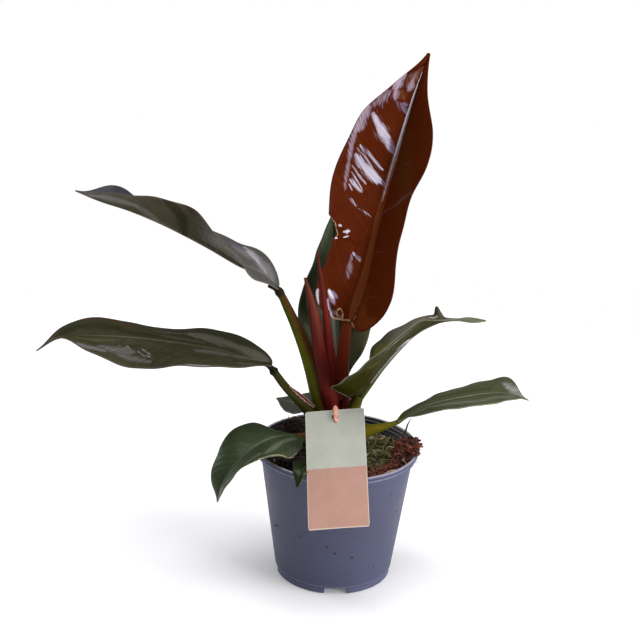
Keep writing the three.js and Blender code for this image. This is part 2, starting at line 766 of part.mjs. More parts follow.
for (const [name, leaf] of Object.entries(leaves)) {
  let solid = bladeSolid(leaf);
  for (const grown of grownStalks) solid = solid.subtract(grown);
  plant.add(named(name + "Blade", geometryOf(mainBody(solid)), leaf.color, 0.3));
}

let scrapSolid = bladeSolid(scrap);
for (const grown of grownStalks) scrapSolid = scrapSolid.subtract(grown);
plant.add(named("sheathScrap", geometryOf(mainBody(scrapSolid)), 0xa8685a, 0.8));

plant.add(named("card", geometryOf(makeCard()), 0xbfc0b2, 0.7));
plant.add(named("cardCord", geometryOf(makeCord()), 0xd09078, 0.8));

// The origin lies on the ground under the middle of the plant's outline.
const outline = new THREE.Box3().setFromObject(plant);
const middle = outline.getCenter(new THREE.Vector3());
plant.position.set(-middle.x, -middle.y, -outline.min.z);

export default group;
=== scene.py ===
import math

import bpy
import numpy as np
from mathutils import Matrix, Vector


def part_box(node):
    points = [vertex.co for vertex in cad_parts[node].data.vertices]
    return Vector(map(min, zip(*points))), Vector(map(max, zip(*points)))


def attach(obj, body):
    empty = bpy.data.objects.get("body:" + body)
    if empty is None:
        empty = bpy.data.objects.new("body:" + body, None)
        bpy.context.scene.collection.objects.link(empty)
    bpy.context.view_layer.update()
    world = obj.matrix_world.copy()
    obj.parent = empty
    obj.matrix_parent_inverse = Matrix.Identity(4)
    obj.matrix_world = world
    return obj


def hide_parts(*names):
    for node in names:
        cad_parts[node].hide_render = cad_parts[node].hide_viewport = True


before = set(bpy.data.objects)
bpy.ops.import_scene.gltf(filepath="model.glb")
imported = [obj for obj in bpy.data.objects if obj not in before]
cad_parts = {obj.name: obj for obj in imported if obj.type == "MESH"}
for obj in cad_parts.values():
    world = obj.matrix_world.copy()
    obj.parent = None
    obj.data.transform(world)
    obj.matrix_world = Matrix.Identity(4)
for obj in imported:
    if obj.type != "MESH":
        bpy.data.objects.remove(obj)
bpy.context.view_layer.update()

potLow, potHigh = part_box("pot")
potFoot = np.array([(potLow[0] + potHigh[0]) / 2, (potLow[1] + potHigh[1]) / 2, potLow[2]])
metre = 0.001  # one millimetre


def toFrame(points):  # millimetres from the foot of the pot's axis, as metres in the frame
    return np.asarray(points, float) * metre + potFoot


# Curves, grids and meshes.

def unit(vectors):
    return vectors / np.maximum(np.linalg.norm(vectors, axis=-1, keepdims=True), 1e-9)


# The Catmull-Rom mix of four neighbours, a share f of the way from the second to the third.
def blendFour(p, f):
    a, b = (p[2] - p[0]) * 0.5, (p[3] - p[1]) * 0.5
    return (2 * p[1] - 2 * p[2] + a + b) * f**3 + (3 * p[2] - 3 * p[1] - 2 * a - b) * f**2 + a * f + p[1]


# A smooth curve through the points, cut into even steps of its length.
def smoothCourse(points, count):
    points = np.asarray(points, float)
    held = np.vstack([2 * points[0] - points[1], points, 2 * points[-1] - points[-2]])
    t = np.linspace(0, len(points) - 1, 60 * len(points))
    k = np.minimum(t.astype(int), len(points) - 2)
    fine = blendFour([held[k + i] for i in range(4)], (t - k)[:, None])
    run = np.r_[0, np.cumsum(np.linalg.norm(np.diff(fine, axis=0), axis=1))]
    even = np.linspace(0, run[-1], count)
    return np.stack([np.interp(even, run, fine[:, i]) for i in range(3)], -1)


# Values given at even stations, read at shares s of the way on a smooth curve through them.
def readAlong(values, s):
    held = np.r_[values[0], values, values[-1]].astype(float)
    t = np.clip(s, 0, 1) * (len(values) - 1)
    k = np.minimum(t.astype(int), len(values) - 2)
    return blendFour([held[k + i] for i in range(4)], t - k)


def polar(radius, turn, z):  # points at a radius and a turn round the pot's axis
    return np.stack(np.broadcast_arrays(radius * np.cos(turn), radius * np.sin(turn), z), -1)


# Quads of a grid of rows and columns, from a first vertex; closed joins the last column to the first.
def gridQuads(rows, columns, start=0, closed=False, flip=False):
    i, j = np.meshgrid(np.arange(rows - 1), np.arange(columns if closed else columns - 1), indexing="ij")
    a, b = i * columns + j, i * columns + (j + 1) % columns
    quads = np.stack([a, b, b + columns, a + columns], -1).reshape(-1, 4) + start
    return quads[:, ::-1] if flip else quads


# A fan from a ring of vertices to one middle vertex.
def fan(ring, middle, flip=False):
    ring = np.asarray(ring)
    faces = np.stack([ring, np.roll(ring, -1), np.full(len(ring), middle)], -1)
    return faces[:, ::-1] if flip else faces


# Puts points and faces into a mesh, with its place in the mesh, and lets it ride on the plant.
def addPiece(name, points, faces, material, stands=(), uv=None, marks=None, sharp=None):
    mesh = bpy.data.meshes.new(name)
    rows = [row for part in faces for row in np.asarray(part).tolist()]
    mesh.from_pydata(toFrame(points).reshape(-1, 3).tolist(), [], rows)
    corner = np.empty(len(mesh.loops), int)
    mesh.loops.foreach_get("vertex_index", corner)
    if uv is not None:
        layer = mesh.uv_layers.new(name="UVMap")
        layer.data.foreach_set("uv", np.asarray(uv, float).reshape(-1, 2)[corner].ravel())
    for mark, values in (marks or {}).items():
        layer = mesh.attributes.new(mark, "FLOAT", "POINT")
        layer.data.foreach_set("value", np.asarray(values, float).ravel())
    mesh.shade_smooth()
    if sharp is not None:
        mesh.set_sharp_from_angle(angle=math.radians(sharp))
    mesh.materials.append(material)
    piece = bpy.data.objects.new(name, mesh)
    bpy.context.collection.objects.link(piece)
    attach(piece, "root")
    if stands:
        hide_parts(*stands)
    return piece


# Node helpers.

def plug(tree, value, socket):  # a socket's output is linked, and anything else is its fixed value
    if isinstance(value, bpy.types.NodeSocket):
        tree.links.new(value, socket)
    else:
        socket.default_value = value


def addNode(tree, kind, inputs=None, **settings):
    node = tree.nodes.new(kind)
    for key, value in settings.items():
        setattr(node, key, value)
    for key, value in (inputs or {}).items():
        plug(tree, value, node.inputs[key])
    return node


def maths(tree, operation, *values):
    return addNode(tree, "ShaderNodeMath", dict(enumerate(values)), operation=operation).outputs[0]


def attribute(tree, name):
    return addNode(tree, "ShaderNodeAttribute", attribute_name=name).outputs["Fac"]


def rescale(tree, value, low, high, toLow=0.0, toHigh=1.0):  # smooth step from low..high to toLow..toHigh
    inputs = {"Value": value, "From Min": low, "From Max": high, "To Min": toLow, "To Max": toHigh}
    return addNode(tree, "ShaderNodeMapRange", inputs, interpolation_type="SMOOTHSTEP").outputs["Result"]


def mixColours(tree, share, first, second):
    return addNode(tree, "ShaderNodeMix", {0: share, 6: first, 7: second}, data_type="RGBA").outputs[2]


def noise(tree, vector, scale, detail=4.0, roughness=0.55, distortion=0.0):
    inputs = {"Vector": vector, "Scale": scale, "Detail": detail, "Roughness": roughness}
    inputs["Distortion"] = distortion
    return addNode(tree, "ShaderNodeTexNoise", inputs).outputs[0]


def stretched(tree, vector, scale):
    return addNode(tree, "ShaderNodeMapping", {"Vector": vector, "Scale": scale}).outputs[0]


def colour(red, green, blue):  # a colour as it looks on screen, 0 to 255, as linear light
    def toLinear(value):
        value /= 255
        return value / 12.92 if value <= 0.04045 else ((value + 0.055) / 1.055) ** 2.4

    return (toLinear(red), toLinear(green), toLinear(blue), 1.0)


def startMaterial(name):
    material = bpy.data.materials.new(name)
    material.use_nodes = True
    tree = material.node_tree
    tree.nodes.clear()
    shader = addNode(tree, "ShaderNodeBsdfPrincipled")
    output = addNode(tree, "ShaderNodeOutputMaterial")
    tree.links.new(shader.outputs[0], output.inputs[0])
    return material, tree, shader


def setSurface(tree, shader, base, roughness, height=None, depth=0.001, strength=1.0, **constants):
    for key, value in (("Base Color", base), ("Roughness", roughness)):
        plug(tree, value, shader.inputs[key])
    if height is not None:
        bump = addNode(tree, "ShaderNodeBump", {"Height": height, "Distance": depth, "Strength": strength})
        tree.links.new(bump.outputs[0], shader.inputs["Normal"])
    for key, value in constants.items():
        shader.inputs[key.replace("_", " ")].default_value = value


def objectPlace(tree):
    return addNode(tree, "ShaderNodeTexCoord").outputs["Object"]


# Effects that several materials share.

def startGroup(name, inputs, outputs):
    group = bpy.data.node_groups.new(name, "ShaderNodeTree")
    for key, kind, value in inputs:
        socket = group.interface.new_socket(key, in_out="INPUT", socket_type=kind)
        if value is not None:
            socket.default_value = value
    for key, kind in outputs:
        group.interface.new_socket(key, in_out="OUTPUT", socket_type=kind)
    start, end = group.nodes.new("NodeGroupInput"), group.nodes.new("NodeGroupOutput")
    return group, start.outputs, end.inputs


def useGroup(tree, group, inputs):
    return addNode(tree, "ShaderNodeGroup", inputs, node_tree=group).outputs


# Leaf veins. Map runs from base to tip and across from margin to margin. Phase counts the side veins
# and is whole at each of them, so veins are where its sine is near nothing; fine lines lie between.
def makeVeins():
    number, vector = "NodeSocketFloat", "NodeSocketVector"
    group, given, made = startGroup(
        "leafVeins",
        [("Map", vector, None), ("Phase", number, 0.0), ("Rib Width", number, 0.05), ("Seed", number, 0.0)],
        [("Along", number), ("Across", number), ("Rib", number), ("Veins", number), ("Fine", number),
         ("Margin", number)],
    )
    parts = addNode(group, "ShaderNodeSeparateXYZ", {0: given["Map"]}).outputs
    across = maths(group, "MULTIPLY_ADD", parts[1], 2.0, -1.0)
    out = maths(group, "ABSOLUTE", across)
    wave = maths(group, "SINE", maths(group, "MULTIPLY", given["Phase"], math.pi))
    nearVein = maths(group, "ABSOLUTE", wave)
    lines = {0: maths(group, "MULTIPLY", given["Phase"], 13.0), 1: maths(group, "MULTIPLY", across, 1.6),
             2: given["Seed"]}
    fine = noise(group, addNode(group, "ShaderNodeCombineXYZ", lines).outputs[0], 1.0, 3.0, 0.6)
    ribEdge = maths(group, "MULTIPLY", given["Rib Width"], maths(group, "SUBTRACT", 1.12, parts[0]))
    rib = rescale(group, maths(group, "DIVIDE", out, ribEdge), 0.7, 1.25, 1.0, 0.0)
    for key, value in (("Along", parts[0]), ("Across", across), ("Rib", rib), ("Fine", fine),
                       ("Veins", rescale(group, nearVein, 0.0, 0.16, 1.0, 0.0)),
                       ("Margin", rescale(group, out, 0.93, 0.995))):
        group.links.new(value, made[key])
    return group


# Blotches: two sizes of noise over the surface, stretched from 0 to 1.
def makeMottle():
    number, vector = "NodeSocketFloat", "NodeSocketVector"
    group, given, made = startGroup(
        "mottle", [("Place", vector, None), ("Scale", number, 40.0)], [("Mask", number)])
    coarse = noise(group, given["Place"], given["Scale"], 3.0, 0.5)
    fine = noise(group, given["Place"], maths(group, "MULTIPLY", given["Scale"], 6.0), 4.0, 0.6)
    both = maths(group, "MULTIPLY_ADD", fine, 0.35, maths(group, "MULTIPLY", coarse, 0.65))
    group.links.new(rescale(group, both, 0.32, 0.68), made["Mask"])
    return group


# Scattered specks: the cores of some cells of a cell pattern, of uneven size.
def makeSpecks():
    number, vector = "NodeSocketFloat", "NodeSocketVector"
    group, given, made = startGroup(
        "specks", [("Place", vector, None), ("Scale", number, 300.0), ("Amount", number, 0.3)],
        [("Mask", number)])
    cells = addNode(group, "ShaderNodeTexVoronoi", {"Vector": given["Place"], "Scale": given["Scale"]})
    pick = addNode(group, "ShaderNodeSeparateColor", {0: cells.outputs["Color"]}).outputs[0]
    size = maths(group, "MULTIPLY", maths(group, "SUBTRACT", given["Amount"], pick), 1.2)
    mask = rescale(group, maths(group, "SUBTRACT", size, cells.outputs["Distance"]), -0.05, 0.08)
    group.links.new(mask, made["Mask"])
    return group


veinGroup, mottleGroup, speckGroup = makeVeins(), makeMottle(), makeSpecks()
print("shader groups made")


# Camera, light and floor.

view = {"aim": (-15.5, 0, 195.8), "distance": 1051.1, "elevation": 19.589, "roll": 1.867, "lens": 83.33,
        "sensor": 36}


def makeCamera():
    tilt, roll = math.radians(view["elevation"]), math.radians(view["roll"])
    back = Vector((0, -math.cos(tilt), math.sin(tilt)))
    level, lift = Vector((1, 0, 0)), Vector((0, math.sin(tilt), math.cos(tilt)))
    right = level * math.cos(roll) + lift * math.sin(roll)
    up = lift * math.cos(roll) - level * math.sin(roll)
    place = Matrix((right, up, back)).transposed().to_4x4()
    place.translation = Vector(toFrame(view["aim"])) + back * view["distance"] * metre
    lens = bpy.data.cameras.new("camera")
    lens.lens, lens.sensor_width = view["lens"], view["sensor"]
    camera = bpy.data.objects.new("camera", lens)
    camera.matrix_world = place
    bpy.context.collection.objects.link(camera)
    bpy.context.scene.camera = camera


# Each softbox: where it stands and what it faces, in millimetres, its size, power and tint.
softboxes = {
    "keyRight": {"at": (1000, -350, 600), "to": (20, 0, 180), "size": (420, 620), "watts": 5.5,
                 "tint": (1.0, 0.99, 0.98)},
    "lowRight": {"at": (820, -660, 240), "to": (20, 20, 260), "size": (240, 640), "watts": 7.5,
                 "tint": (0.95, 0.92, 1.0)},
    "leftBack": {"at": (-900, 420, 420), "to": (0, 0, 160), "size": (250, 600), "watts": 3,
                 "tint": (0.95, 0.97, 1.0)},
}
ceiling = {"strength": 2.75, "spread": 60, "tint": (0.98, 0.98, 1.0)}  # a wide soft light from above
room = {"fill": (0.1, 0.1, 0.105, 1), "backdrop": (1, 1, 1, 1)}


def makeLights():
    for name, box in softboxes.items():
        light = bpy.data.lights.new(name, "AREA")
        light.shape, light.size, light.size_y = "RECTANGLE", box["size"][0] * metre, box["size"][1] * metre
        light.energy, light.color = box["watts"], box["tint"]
        lamp = bpy.data.objects.new(name, light)
        at, to = Vector(toFrame(box["at"])), Vector(toFrame(box["to"]))
        lamp.matrix_world = Matrix.Translation(at) @ (to - at).to_track_quat("-Z", "Y").to_matrix().to_4x4()
        bpy.context.collection.objects.link(lamp)
    light = bpy.data.lights.new("ceiling", "SUN")
    light.energy, light.color = ceiling["strength"], ceiling["tint"]
    light.angle = math.radians(ceiling["spread"])
    bpy.context.collection.objects.link(bpy.data.objects.new("ceiling", light))
    world = bpy.data.worlds.new("studio")
    bpy.context.scene.world = world
    world.use_nodes = True
    tree = world.node_tree
    seen = addNode(tree, "ShaderNodeLightPath").outputs["Is Camera Ray"]
    sky = tree.nodes["Background"]
    tree.links.new(mixColours(tree, seen, room["fill"], room["backdrop"]), sky.inputs["Color"])
    bpy.context.scene.view_settings.view_transform = "Standard"


floorDisc = {"radius": 620, "sides": 96, "below": 0.4}


def makeFloor():
    turn = np.linspace(0, 2 * np.pi, floorDisc["sides"], endpoint=False)
    ring = np.stack([np.cos(turn), np.sin(turn), 0 * turn], -1) * floorDisc["radius"]
    mesh = bpy.data.meshes.new("floor")
    mesh.from_pydata(toFrame(ring - [0, 0, floorDisc["below"]]).tolist(), [], [list(range(len(ring)))])
    material, tree, shader = startMaterial("paleFloor")
    setSurface(tree, shader, (0.93, 0.93, 0.93, 1), 0.7, Emission_Color=(1, 1, 1, 1), Emission_Strength=0.14)
    mesh.materials.append(material)
    floor = bpy.data.objects.new("floor", mesh)
    bpy.context.collection.objects.link(floor)


makeCamera()
makeLights()
makeFloor()
print("camera, light and floor in place")


# Pot.

pot = {
    "height": 100, "rimRadius": 60, "ledgeRadius": 58.4, "lipHeight": 3.6, "ledgeHeight": 3.4,
    "wallTop": 55.7, "wallFoot": 43.4, "footRadius": 42.4, "footHeight": 5.4, "wall": 1.5, "recess": 3,
    "notchWidth": 17, "notchHeight": 4.6, "notchAngle": -87, "notches": 4, "columns": 240,
}


def innerRadius(z):  # of the pot's wall at a height
    top = pot["height"] - pot["lipHeight"] - pot["ledgeHeight"]
    t = (z - pot["footHeight"]) / (top - pot["footHeight"])
    return pot["wallFoot"] + (pot["wallTop"] - pot["wallFoot"]) * t - pot["wall"]


# The outline from under the floor to the inside of it, each corner rounded by short chords.
def potOutline():
    ledge = pot["height"] - pot["lipHeight"]
    wallTop = ledge - pot["ledgeHeight"]
    floor = pot["recess"] + pot["wall"]
    rim, step, foot = pot["rimRadius"], pot["ledgeRadius"], pot["footRadius"]
    corners = [
        (0.5, pot["recess"], 0), (foot - 3, pot["recess"], 0.3), (foot - 2.4, 0, 0.15), (foot, 0, 0.4),
        (foot, pot["footHeight"] - 0.6, 0.25), (pot["wallFoot"], pot["footHeight"], 0.5),
        (pot["wallTop"], wallTop, 0.5), (step, wallTop + 0.5, 0.5), (step, ledge - 0.2, 0.3),
        (rim - 0.3, ledge + 0.3, 0.4), (rim, pot["height"] - 0.6, 0.7), (rim - 0.8, pot["height"], 0.5),
        (rim - 2.2, pot["height"], 0.6), (rim - 3, pot["height"] - 1, 0.5),
        (innerRadius(wallTop), wallTop - 2, 2), (innerRadius(floor), floor, 1), (0.5, floor, 0),
    ]
    outline = []
    for (r0, z0, _), (r, z, round_), (r1, z1, _) in zip(corners, corners[1:], corners[2:]):
        before, after, corner = np.array([r0, z0]), np.array([r1, z1]), np.array([r, z])
        a, b = unit(before - corner) * round_, unit(after - corner) * round_
        t = np.linspace(0, 1, 4)[:, None]
        outline.append(corner + a * (1 - t) ** 2 + b * t**2)
    first, last = np.array([corners[0][:2]]), np.array([corners[-1][:2]])
    return np.vstack([first, *outline, last])


def makePot(material):
    profile = potOutline()
    edge = math.degrees(pot["notchWidth"] / 2 / pot["footRadius"])
    centres = pot["notchAngle"] + 360 / pot["notches"] * np.arange(pot["notches"])
    edges = (centres[:, None] + np.array([-edge - 0.2, -edge, edge, edge + 0.2])).ravel() % 360
    angles = np.sort(np.r_[np.linspace(0, 360, pot["columns"], endpoint=False), edges])
    away = np.abs((angles[:, None] - centres + 180) % 360 - 180).min(1)
    lift = np.where(away <= edge + 0.01, pot["notchHeight"], 0)
    r, z = profile[:, 0][:, None], profile[:, 1][:, None]
    isFoot = (z < pot["recess"] - 0.5) & (r > pot["footRadius"] - 3)
    lifted = np.where(r < pot["footRadius"] - 1.2, np.minimum(lift, pot["recess"]), lift)
    z = np.where(isFoot, np.maximum(z, lifted), z)
    turn = np.radians(angles)
    points = np.stack([r * np.cos(turn), r * np.sin(turn), np.broadcast_to(z, (len(profile), len(turn)))], -1)
    columns = len(turn)
    count = points.shape[0] * columns
    rings = gridQuads(len(profile), columns, closed=True)
    under, inside = fan(np.arange(columns), count, True), fan(np.arange(columns) + count - columns, count + 1)
    floor = pot["recess"] + pot["wall"]
    middles = [[0, 0, pot["recess"]], [0, 0, floor]]
    crest = profile[:, 1].argmax() + 3
    within = np.r_[np.repeat(np.arange(len(profile)) > crest, columns), 0, 1]
    addPiece("potShell", np.vstack([points.reshape(-1, 3), middles]), [rings, under, inside], material,
             ["pot"], marks={"within": within}, sharp=40)


# Rings round the pot by height: dark rings of soil and painted shade in the corners, and pale rings
# of painted highlight and rubbed wear along the edges.
potLines = {"dark": [(96.35, 0.42), (92.7, 0.5), (98.1, 0.22), (4.7, 0.4)],
            "pale": [(99.5, 0.4), (96.9, 0.22), (95.6, 0.45), (93.5, 0.2), (5.7, 0.3)]}


# Moulded plastic: a fine grain, faint rings, rubbed patches, and specks and smears of soil, with rings
# of painted shade and painted highlight at the edges. The inner wall is nearly black with soil and
# painted shade, with pale rings of painted highlight at its steps.
def potPlastic():
    material, tree, shader = startMaterial("potPlastic")
    place = objectPlace(tree)
    height = addNode(tree, "ShaderNodeSeparateXYZ", {0: place}).outputs[2]

    def ring(level, half):  # 1 on a level, fading out past half a millimetre or so
        at = maths(tree, "ABSOLUTE", maths(tree, "SUBTRACT", height, float(toFrame([0, 0, level])[2])))
        return rescale(tree, at, half * 0.5 * metre, half * 1.6 * metre, 1.0, 0.0)

    patches = useGroup(tree, mottleGroup, {"Place": place, "Scale": 22.0})["Mask"]
    base = mixColours(tree, patches, colour(58, 60, 82), colour(67, 70, 95))
    scuffs = noise(tree, stretched(tree, place, (160.0, 160.0, 900.0)), 1.0, 3.0, 0.65)
    base = mixColours(tree, rescale(tree, scuffs, 0.62, 0.78, 0.0, 0.35), base, colour(92, 94, 118))
    lowest = rescale(tree, height, float(potFoot[2]) + 2 * metre, float(potFoot[2]) + 9 * metre, 0.45, 0.0)
    base = mixColours(tree, lowest, base, colour(92, 96, 124))
    ringStrength = rescale(tree, noise(tree, place, 240.0, 3.0), 0.3, 0.6, 0.25, 0.8)
    # Painted shade in the dark rings and painted highlight in the pale ones, broken into patches.
    for tone, key in ((colour(28, 28, 40), "dark"), (colour(118, 121, 146), "pale")):
        for level, half in potLines[key]:
            base = mixColours(tree, maths(tree, "MULTIPLY", ring(level, half), ringStrength), base, tone)
    specks = useGroup(tree, speckGroup, {"Place": place, "Scale": 105.0, "Amount": 0.1})["Mask"]
    base = mixColours(tree, specks, base, colour(28, 24, 30))
    dust = useGroup(tree, speckGroup, {"Place": place, "Scale": 260.0, "Amount": 0.12})["Mask"]
    base = mixColours(tree, maths(tree, "MULTIPLY", dust, 0.6), base, colour(50, 50, 66))
    within = attribute(tree, "within")
    # Painted shade: the inner wall is nearly black, as soil and shade, and its pale rings are painted
    # highlights.
    inner = mixColours(tree, patches, colour(22, 21, 22), colour(44, 44, 50))
    for level, half, much in ((97.6, 0.3, 0.8), (94.8, 0.35, 0.6), (92.2, 0.3, 0.35)):
        share = maths(tree, "MULTIPLY", ring(level, half), much)
        inner = mixColours(tree, share, inner, colour(150, 148, 150))
    base = mixColours(tree, within, base, inner)
    # Painted highlight: a pale line along the top of the rim.
    base = mixColours(tree, maths(tree, "MULTIPLY", ring(100.2, 0.45), 0.7), base, colour(176, 172, 172))
    rings = addNode(tree, "ShaderNodeTexWave", {"Vector": place, "Scale": 420.0, "Distortion": 0.6},
                    bands_direction="Z").outputs["Fac"]
    grain = noise(tree, place, 1400.0, 2.0)
    relief = maths(tree, "MULTIPLY_ADD", rings, 0.16, grain)
    setSurface(tree, shader, base, rescale(tree, patches, 0, 1, 0.48, 0.6), relief, 0.00012, 0.6,
               Specular_IOR_Level=0.35)
    return material


makePot(potPlastic())
print("pot made")


# Soil.

soil = {"level": 91, "mound": 4.5, "moundRadius": 24, "ripple": 0.9, "rings": 60, "columns": 200,
        "crumbs": 2100, "grit": 46}


def soilHeight(x, y):  # a low mound round the stem, and ripples that die out towards the wall
    radius = np.hypot(x, y)
    calm = 1 - np.minimum(1, radius / innerRadius(soil["level"])) ** 6
    ripples = np.sin(x * 0.31 + 1.3) * np.cos(y * 0.27) + 0.6 * np.sin(x * 0.17 - y * 0.37 + 0.5)
    mound = soil["mound"] * np.exp(-((radius / soil["moundRadius"]) ** 2))
    return soil["level"] + mound + soil["ripple"] * ripples * calm


def roughness(x, y, grain=1.0):  # small lumps: sines that cross at odd angles
    waves = np.sin(x * 1.7 * grain + 2 * np.sin(y * 0.9 * grain)) * np.sin(y * 1.9 * grain + 1.3)
    return waves + 0.6 * np.sin(x * 3.7 * grain - y * 2.3 * grain + 0.4) * np.sin(x * 1.1 - y * 3.1 * grain)


def randomTurns(random, count):  # rotation matrices from random unit quaternions
    w, x, y, z = unit(random.normal(size=(count, 4))).T
    rows = [1 - 2 * (y * y + z * z), 2 * (x * y - z * w), 2 * (x * z + y * w),
            2 * (x * y + z * w), 1 - 2 * (x * x + z * z), 2 * (y * z - x * w),
            2 * (x * z - y * w), 2 * (y * z + x * w), 1 - 2 * (x * x + y * y)]
    return np.stack(rows, -1).reshape(-1, 3, 3)


golden = (1 + math.sqrt(5)) / 2
lumpPoints = unit(np.array([(-1, golden, 0), (1, golden, 0), (-1, -golden, 0), (1, -golden, 0),
                            (0, -1, golden), (0, 1, golden), (0, -1, -golden), (0, 1, -golden),
                            (golden, 0, -1), (golden, 0, 1), (-golden, 0, -1), (-golden, 0, 1)], float))
lumpFaces = np.array([(0, 11, 5), (0, 5, 1), (0, 1, 7), (0, 7, 10), (0, 10, 11), (1, 5, 9), (5, 11, 4),
                      (11, 10, 2), (10, 7, 6), (7, 1, 8), (3, 9, 4), (3, 4, 2), (3, 2, 6), (3, 6, 8),
                      (3, 8, 9), (4, 9, 5), (2, 4, 11), (6, 2, 10), (8, 6, 7), (9, 8, 1)])
slabPoints = np.array([(x, y, z) for z in (-1, 1) for y in (-1, 1) for x in (-1, 0, 1)], float)
slabFaces = np.array([(0, 3, 4, 1), (1, 4, 5, 2), (6, 7, 10, 9), (7, 8, 11, 10), (0, 1, 7, 6), (1, 2, 8, 7),
                      (3, 9, 10, 4), (4, 10, 11, 5), (0, 6, 9, 3), (2, 5, 11, 8)])


# Copies of one small shape: each scaled along its own axes, dented, turned and set at its place.
def scattered(random, shape, faces, places, sizes, turns, dent=0.25):
    bodies = shape[None] * (1 + random.uniform(-dent, dent, (len(places), len(shape), 3)))
    bodies = np.einsum("nij,nkj->nki", turns, bodies * sizes[:, None]) + places[:, None]
    first = np.arange(len(places)) * len(shape)
    tint = np.repeat(random.uniform(0, 1, len(places)), len(shape))
    return bodies.reshape(-1, 3), (faces[None] + first[:, None, None]).reshape(-1, faces.shape[1]), tint


def makeSoil(material):
    rings, columns = soil["rings"], soil["columns"]
    top = innerRadius(soil["level"]) - 0.3
    foot = pot["recess"] + pot["wall"] + 0.3
    share = np.linspace(0.01, 1, rings)[:, None]
    turn = np.linspace(0, 2 * np.pi, columns, endpoint=False)
    x, y = top * share * np.cos(turn), top * share * np.sin(turn)
    z = soilHeight(x, y) + 0.55 * roughness(x, y) * (1 - share**8)
    bottom = innerRadius(foot) - 0.3
    ring = polar(bottom, turn, np.full(columns, foot))
    points = np.vstack([np.stack([x, y, z], -1).reshape(-1, 3), ring,
                        [[0, 0, soilHeight(0, 0)], [0, 0, foot]]])
    count = rings * columns
    around = np.arange(columns)
    faces = [gridQuads(rings, columns, closed=True), gridQuads(2, columns, count - columns, True),
             fan(around, count + columns, True), fan(around + count, count + columns + 1)]
    addPiece("soilBed", points, faces, material, ["soil"], marks={"tint": np.full(len(points), 0.3)})

    random = np.random.default_rng(5)
    a = random.uniform(0, 2 * np.pi, soil["crumbs"])
    r = top * np.sqrt(random.uniform(0, 0.985, soil["crumbs"]))
    x, y = r * np.cos(a), r * np.sin(a)
    size = random.uniform(0.4, 1.5, soil["crumbs"]) ** 1.4
    places = np.stack([x, y, soilHeight(x, y) + 0.25 * size], -1)
    sizes = size[:, None] * random.uniform(0.6, 1.5, (soil["crumbs"], 3))
    sizes = np.minimum(sizes, (innerRadius(soil["level"]) - r)[:, None] * 0.7 + 0.2)
    points, faces, tint = scattered(random, lumpPoints, lumpFaces, places, sizes,
                                    randomTurns(random, soil["crumbs"]))
    addPiece("soilCrumbs", points, [faces], material, marks={"tint": tint})

    a, r = random.uniform(0, 2 * np.pi, soil["grit"]), random.uniform(16, 50, soil["grit"])
    x, y = r * np.cos(a), r * np.sin(a)
    size = random.uniform(0.5, 1.15, soil["grit"])
    places = np.stack([x, y, soilHeight(x, y) + 0.8 * size], -1)
    points, faces, tint = scattered(random, lumpPoints, lumpFaces, places, size[:, None] * np.ones(3),
                                    randomTurns(random, soil["grit"]))
    addPiece("soilGrit", points, [faces], gritMaterial(), marks={"tint": tint})


# Crumbs of soil that stick to the outside of the wall: angle and height of each, and its size.
stuck = [(-154.2, 42.5, 0.7), (-149.5, 45.6, 0.8), (-146, 45.8, 0.6), (-139.5, 45.5, 0.45),
         (-119.2, 46.5, 0.8), (-120.8, 44.8, 0.6), (-113.4, 51.4, 0.4), (-96.1, 41.2, 0.8),
         (-90, 36.4, 0.5), (-88.7, 35.5, 0.8), (-73.9, 31.8, 0.8), (-80.9, 53.6, 0.6), (-78.1, 16.8, 0.5),
         (-50.3, 18.9, 0.7), (-51.1, 54.6, 0.4), (-66, 43.4, 0.35), (-42.5, 71.4, 0.45),
         (-131.4, 79.8, 0.35), (-30, 60, 0.5), (40, 66, 0.7), (75, 30, 0.6), (110, 52, 0.7), (165, 70, 0.5)]


def makeStuckCrumbs(material):
    turn, z, size = np.array(stuck).T
    turn = np.radians(turn)
    radius = pot["wallFoot"] + (pot["wallTop"] - pot["wallFoot"]) * (z - pot["footHeight"]) / (
        pot["height"] - pot["lipHeight"] - pot["ledgeHeight"] - pot["footHeight"]) + 0.1 * size
    places = polar(radius, turn, z)
    random = np.random.default_rng(31)
    sizes = size[:, None] * random.uniform(0.55, 1.1, (len(size), 3))
    turns = randomTurns(random, len(size))
    points, faces, tint = scattered(random, lumpPoints, lumpFaces, places, sizes, turns)
    addPiece("stuckCrumbs", points, [faces], material, marks={"tint": tint * 0.3})


def crumbMaterial(name, dark, light, warm, gloss=0.85):  # crumbly matter: each lump its own tint
    material, tree, shader = startMaterial(name)
    place = objectPlace(tree)
    tint = attribute(tree, "tint")
    mottled = useGroup(tree, mottleGroup, {"Place": place, "Scale": 190.0})["Mask"]
    base = mixColours(tree, rescale(tree, tint, 0.1, 1.0), dark, light)
    base = mixColours(tree, maths(tree, "MULTIPLY", mottled, 0.55), base, warm)
    height = noise(tree, place, 900.0, 5.0, 0.7)
    setSurface(tree, shader, base, gloss, height, 0.0006, 0.9)
    return material


def gritMaterial():
    return crumbMaterial("paleGrit", colour(176, 170, 158), colour(222, 216, 204), colour(150, 140, 124), 0.7)


soilMatter = crumbMaterial("soilMatter", colour(24, 16, 14), colour(66, 43, 33), colour(44, 27, 20))
makeSoil(soilMatter)
makeStuckCrumbs(soilMatter)
print("soil made")


